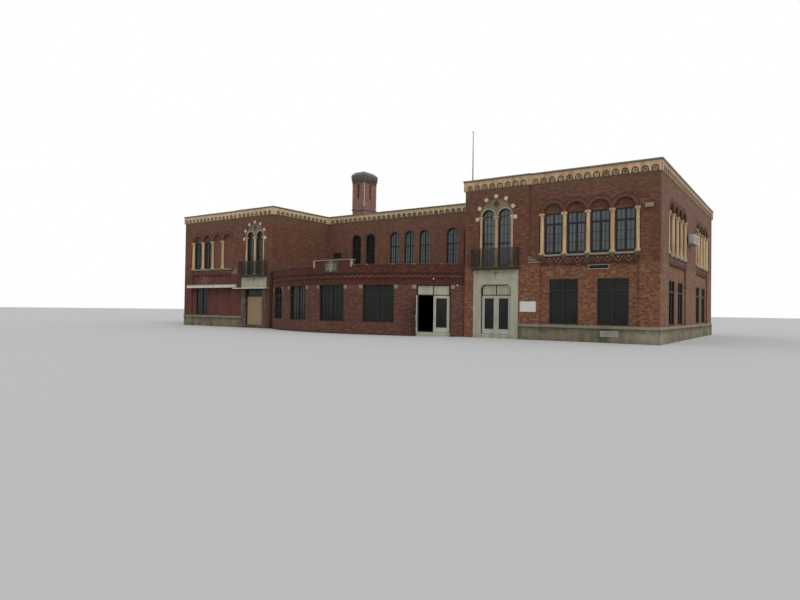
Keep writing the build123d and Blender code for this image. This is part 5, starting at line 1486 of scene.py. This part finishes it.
@shape
def corner_shaft(bm):
    low, high = SHAFT_Z
    lathe(bm, [(SHAFT_R * wide, 0, z) for wide, z in (
        (0, low), (0.98, low), (0.98, low + 0.06), (0.7, low + 0.10), (0.86, low + 0.15), (0.62, low + 0.2),
        (0.60, high - 0.3), (0.8, high - 0.27), (0.62, high - 0.24), (0.7, high - 0.15), (0.98, high - 0.07),
        (0.98, high), (0, high))], 14)
    bmesh.ops.remove_doubles(bm, verts=bm.verts, dist=0.0001)


def in_slots(axis, sides, way_in, ends):
    """The inside of the slots in two opposite faces, which is set back from them."""
    middle = sum(sides) / 2
    return times(within(axis, middle - SLOT_HALF, middle + SLOT_HALF),
                 within(way_in, ends[0] + 0.02, ends[1] - 0.02))


EITHER_SLOT = maths("ADD", in_slots("X", STACK_X, "Y", STACK_Y), in_slots("Y", STACK_Y, "X", STACK_X),
                    clamp=True)
# Painted shade: the insides of the set-back slots are painted near black.
SLOT_SHADE = times(EITHER_SLOT, within("Z", *SLOT_Z), 0.85)
HEAD_MOSS = times(climb(STACK_TOP + 0.1, STACK_SLOPE), spots(5.0, 6.0, 0.38, 0.60))
# The stack's brick is paler partly by its own colour and partly as painted light for the sky on the
# free-standing stack.
dress(brickwork("stack_brick", ((0.200, 0.108, 0.086), (0.280, 0.145, 0.110), (0.340, 0.180, 0.138),
                                (0.405, 0.235, 0.180)), (0.24, 0.165, 0.130),
                stains_and_painted_light=((SLOT_SHADE, (0.045, 0.026, 0.021)),), soot=0.2), "chimney_stack")
dress(brickwork("stack_head_brick", ((0.108, 0.075, 0.067), (0.158, 0.108, 0.093), (0.208, 0.150, 0.128)),
                (0.115, 0.090, 0.076), stains_and_painted_light=((above("Z", STACK_SLOPE - 0.04), (0.225, 0.24, 0.21)),
                                               (HEAD_MOSS, (0.155, 0.160, 0.130))), soot=0.3), "chimney_cap")
SHAFT_CLAY = terracotta("shaft_clay", (0.66, 0.52, 0.33), (0.56, 0.40, 0.24), soot=0.2)
TOOTH_BRICK = loose_bricks("tooth_brick", (0.085, 0.060, 0.052), (0.190, 0.165, 0.135))
piece("chimney_shafts", SHAFT_CLAY, "terracotta",
      (corner_shaft(), [shift(x, y) for x in STACK_X for y in STACK_Y]),
      stands_for=("chimney_colonnettes",), smooth=40)
piece("chimney_teeth", TOOTH_BRICK, "brick", teeth())


# Roofs and floors
# Flat roofs of gravelled felt laid behind the parapets, grey with patches of moss. Inside, bare
# concrete floors cast between the walls, dusty and unfinished.

dress(stonework("roof_felt", (0.12, 0.12, 0.115), (0.08, 0.08, 0.08), (0.10, 0.105, 0.08), pits=0.006),
      "roof_slabs", "bow_roof")
dress(stonework("concrete", (0.30, 0.29, 0.27), (0.24, 0.23, 0.21), (0.2, 0.2, 0.17), 0.2),
      "ground_floors", "upper_floors")


# Air units
# Two painted steel units on angle brackets, on the pier between the windows of the right side.
# Each has a fan behind a ring grille and louvres beside it.

UNIT_PLACES = [TO_RIGHT @ shift(x) for x in (8.25, 9.15)]
UNIT_W = 0.8
UNIT_FRONT = -0.42
UNIT_BACK = -0.09
UNIT_LOW = 5.96
UNIT_TOP = 6.54
LOUVRES = 7
LOUVRE_STEP = 0.055
GRILLE_R = 0.215
GRILLE_RINGS = 5
SPOKES = 8
FAN_AT = (-0.12, UNIT_FRONT + 0.006, (UNIT_LOW + UNIT_TOP) / 2)


@shape
def casing(bm):
    slab(bm, -UNIT_W / 2, UNIT_W / 2, UNIT_FRONT + 0.012, UNIT_BACK, UNIT_LOW, UNIT_TOP)
    soften(bm, 0.018, 3)
    for i in range(LOUVRES):
        z = UNIT_LOW + 0.11 + i * LOUVRE_STEP
        louvre = slab(bm, 0.22, 0.35, UNIT_FRONT + 0.008, UNIT_FRONT + 0.026, z, z + 0.02)
        turned(bm, louvre, 18, "X", (0, UNIT_FRONT + 0.02, z))


@shape
def grille(bm):
    """The rings and spokes of the fan guard, with the hub."""
    for i in range(GRILLE_RINGS):
        hoop(bm, GRILLE_R * (i + 1) / GRILLE_RINGS, 0.004, FAN_AT, 24)
    for i in range(SPOKES):
        spoke = slab(bm, -0.003, GRILLE_R, -0.003, 0.003, -0.003, 0.003)
        turned(bm, spoke, 360 * i / SPOKES)
        move(bm, spoke, *FAN_AT)
    rod(bm, 0.05, 0.008, FAN_AT, 0.042, 16)


@shape
def fan_well(bm):
    rod(bm, GRILLE_R + 0.008, 0.006, FAN_AT, around=32)
    move(bm, bm.verts, y=0.0045)


@shape
def unit_bracket(bm):
    for x in (-0.25, 0.25):
        slab(bm, x - 0.02, x + 0.02, UNIT_FRONT + 0.01, 0, UNIT_LOW - 0.008, UNIT_LOW)
        slab(bm, x - 0.004, x + 0.004, UNIT_FRONT + 0.01, 0, UNIT_LOW - 0.05, UNIT_LOW - 0.006)
        slab(bm, x - 0.02, x + 0.02, -0.008, 0, UNIT_LOW - 0.05, UNIT_LOW + 0.25)


UNIT_PAINT = metal("unit_paint", (0.46, 0.45, 0.40), (0.33, 0.30, 0.24), 0.45, 0.4)
DARK_METAL = metal("dark_metal", (0.025, 0.025, 0.023), (0.06, 0.055, 0.05), 0.6)
piece("air_unit_cases", UNIT_PAINT, "steel", (casing(), UNIT_PLACES), stands_for=("condensers",), smooth=40)
piece("air_unit_grilles", UNIT_PAINT, "steel", (grille(), UNIT_PLACES))
piece("air_unit_fans", DARK_METAL, "steel", (fan_well(), UNIT_PLACES))
piece("air_unit_brackets", STEEL, "steel", (unit_bracket(), UNIT_PLACES))


# Vents, lamps and notice board
# Louvred vents in the walls, box lamps with a lens below, and a bare white board on the pier.

FRONT_VENT = (16.03, 17.14, 0.065, 0.095, 3.97, 4.22, 0.035)
BASE_VENT = (16.70, 17.65, -0.045, -0.015, 0.33, 0.63, 0.04)
COURT_VENT = (-7.825, -6.975, COURT_D - 0.03, COURT_D, 6.0, 6.4, 0.03)
LAMP_LOW = 7.05
LAMP_TOP = 7.31
LAMP_W = 0.40
LAMP_OUT = 0.17
LAMPS_AT = [shift(HALF - 0.535), TO_RIGHT @ shift(DEPTH / 2 + 1.76)]
BOARD_X = (12.13, 13.10)
BOARD_Y = -0.110
BOARD_Z = (1.6, 2.2)
BOARD_RIM = 0.02
SCREW_IN = 0.06


@shape
def vent_blades(bm, x0, x1, y0, y1, z0, z1, border_w, count=6):
    """The sloping blades inside the border of a vent, and the plate behind them."""
    left, right, low, high = x0 + border_w, x1 - border_w, z0 + border_w, z1 - border_w
    slab(bm, left, right, y1 - 0.004, y1, low, high)
    for i in range(count):
        z = low + (i + 0.5) * (high - low) / count
        blade = slab(bm, left, right, y0 + 0.006, y1 - 0.004, z - 0.003, z + 0.003)
        turned(bm, blade, -30, "X", (0, (y0 + y1) / 2, z))


@shape
def box_lamp(bm):
    """The hood and back box of a lamp that lights the wall below it."""
    half = LAMP_W / 2
    hood = slab(bm, -half, half, -LAMP_OUT, 0, LAMP_LOW + 0.05, LAMP_TOP)
    move(bm, front_top(hood, LAMP_TOP, -0.1), y=0.06)
    slab(bm, -half * 0.92, half * 0.92, 0.012 - LAMP_OUT, 0, LAMP_LOW + 0.02, LAMP_LOW + 0.052)
    soften(bm, 0.008, 2)


@shape
def lens(bm):
    slab(bm, -LAMP_W * 0.38, LAMP_W * 0.38, 0.025 - LAMP_OUT, -0.03, LAMP_LOW, LAMP_LOW + 0.022)
    soften(bm, 0.006)


@shape
def notice_board(bm):
    slab(bm, *BOARD_X, BOARD_Y + 0.004, BOARD_Y + 0.015, *BOARD_Z)
    rim(bm, *BOARD_X, BOARD_Y, BOARD_Y + 0.005, *BOARD_Z, BOARD_RIM)
    for x in (BOARD_X[0] + SCREW_IN, BOARD_X[1] - SCREW_IN):
        for z in (BOARD_Z[0] + SCREW_IN, BOARD_Z[1] - SCREW_IN):
            rod(bm, 0.008, 0.006, (x, BOARD_Y + 0.003, z), 0.006, 10)
    soften(bm, 0.001)


CREAM_METAL = metal("cream_metal", (0.40, 0.35, 0.25), (0.27, 0.22, 0.15), 0.6, 0.5)
GREY_METAL = metal("grey_metal", (0.40, 0.40, 0.36), (0.28, 0.27, 0.22), 0.5, 0.4)
LAMP_PAINT = metal("lamp_paint", (0.30, 0.225, 0.105), (0.21, 0.15, 0.075), 0.55, 0.5)
BOARD_WHITE = metal("board_white", (0.72, 0.69, 0.66), (0.56, 0.50, 0.46), 0.4, 0.35)
LENS = glass("lens_glass", (0.035, 0.032, 0.025), 0.15, 0.5)
vent_border = shape(border)
piece("front_vent", CREAM_METAL, "steel", vent_border(*FRONT_VENT), stands_for=("wall_fittings",))
piece("court_vent", DARK_METAL, "steel", vent_border(*COURT_VENT))
piece("base_vent", GREY_METAL, "steel", vent_border(*BASE_VENT), vent_blades(*BASE_VENT, 5))
# Painted shade: the plate behind the blades, and the blades with it, are near black for the shade inside the
# vent.
piece("vent_blades", DARK_METAL, "steel", vent_blades(*FRONT_VENT), vent_blades(*COURT_VENT))
piece("wall_lamps", LAMP_PAINT, "steel", (box_lamp(), LAMPS_AT))
piece("lamp_lenses", LENS, "glass", (lens(), LAMPS_AT))
piece("notice_board", BOARD_WHITE, "white_paint", notice_board())


# Flagpole and downpipe
# A tapered steel pole on a flange with a ball on top, and a cast-iron pipe with socket collars down
# the corner of the court.

PIPE_AT = (-8.565, -0.215, 0)
PIPE_R = 0.05
COLLARS_AT = (0.12, 1.75, 3.05, 4.15)
COLLAR = ((0, 0), (0.014, 0.008), (0.014, 0.03), (0.006, 0.04), (0.006, 0.11), (0.013, 0.12), (0, 0.13))


@shape
def collars(bm):
    for z in COLLARS_AT:
        lathe(bm, [(PIPE_R + out, 0, z + up) for out, up in COLLAR], 14, PIPE_AT)
    bmesh.ops.remove_doubles(bm, verts=bm.verts, dist=0.0001)


dress(metal("pole_paint", (0.46, 0.46, 0.44), (0.30, 0.29, 0.27), 0.4, 0.4), "flagpole")
dress(IRON, "downpipe")
piece("pipe_collars", IRON, "iron", collars(), smooth=40)


# Floor, light and camera
# A plain pale floor under an even white sky, with one broad soft lamp from the right.

FLOOR_REACH = 300
FLOOR_Z = -0.002
SKY_LIGHT = (0.80, 0.83, 0.88)
SKY_SHARE = 0.72
SUN_STRENGTH = 1.1
SUN_SPREAD = 50
SUN_FROM = (0.82, -0.35, 0.75)
CAMERA_AT = (25.855, -32.119, 1.641)
CAMERA_YAW = math.radians(34.703)
CAMERA_PITCH = math.radians(0.908)
CAMERA_ROLL = math.radians(0.806)
FOCAL_PX = 588.7
PHOTO_W = 800
SENSOR = 36.0


def floor():
    bm = bmesh.new()
    bmesh.ops.create_grid(bm, x_segments=1, y_segments=1, size=FLOOR_REACH)
    move(bm, bm.verts, z=FLOOR_Z)
    mesh = bpy.data.meshes.new("floor")
    bm.to_mesh(mesh)
    bm.free()
    mesh.materials.append(material("floor", (0.62, 0.61, 0.59), Roughness=0.95, Specular_IOR_Level=0.1))
    in_scene("floor", mesh)


def sky():
    """Even light that shows as plain white where it is seen, mirrored or looked at through glass."""
    world = bpy.data.worlds.new("sky")
    bpy.context.scene.world = world
    world.use_nodes = True
    camera_ray, glossy_ray, through_glass = (
        node("ShaderNodeLightPath", output=f"Is {ray} Ray") for ray in ("Camera", "Glossy", "Transmission"))
    seen = maths("ADD", maths("ADD", camera_ray, glossy_ray, clamp=True), through_glass, clamp=True)
    background = world.node_tree.nodes["Background"].inputs
    plug(world.node_tree, background["Color"], blend(seen, SKY_LIGHT, (1, 1, 1)))
    plug(world.node_tree, background["Strength"], maths("ADD", SKY_SHARE, times(seen, 1 - SKY_SHARE)))


def lamp():
    light = bpy.data.lights.new("soft_sun", "SUN")
    light.energy = SUN_STRENGTH
    light.angle = math.radians(SUN_SPREAD)
    in_scene("soft_sun", light).rotation_euler = Vector(SUN_FROM).to_track_quat("Z", "Y").to_euler()


def camera():
    """The viewpoint of the photograph: 1.64 m above the ground, off the right-hand corner."""
    data = bpy.data.cameras.new("camera")
    data.sensor_width = SENSOR
    data.lens = FOCAL_PX * SENSOR / PHOTO_W
    made = in_scene("camera", data)
    forward = Vector((-math.sin(CAMERA_YAW) * math.cos(CAMERA_PITCH),
                      math.cos(CAMERA_YAW) * math.cos(CAMERA_PITCH), math.sin(CAMERA_PITCH)))
    level = forward.cross(Vector((0, 0, 1))).normalized()
    up = level.cross(forward)
    right = level * math.cos(CAMERA_ROLL) + up * math.sin(CAMERA_ROLL)
    up = right.cross(forward)
    made.matrix_world = Matrix.Translation(CAMERA_AT) @ Matrix((right, up, -forward)).transposed().to_4x4()
    bpy.context.scene.camera = made


floor()
sky()
lamp()
camera()
bpy.context.scene.view_settings.view_transform = "Standard"
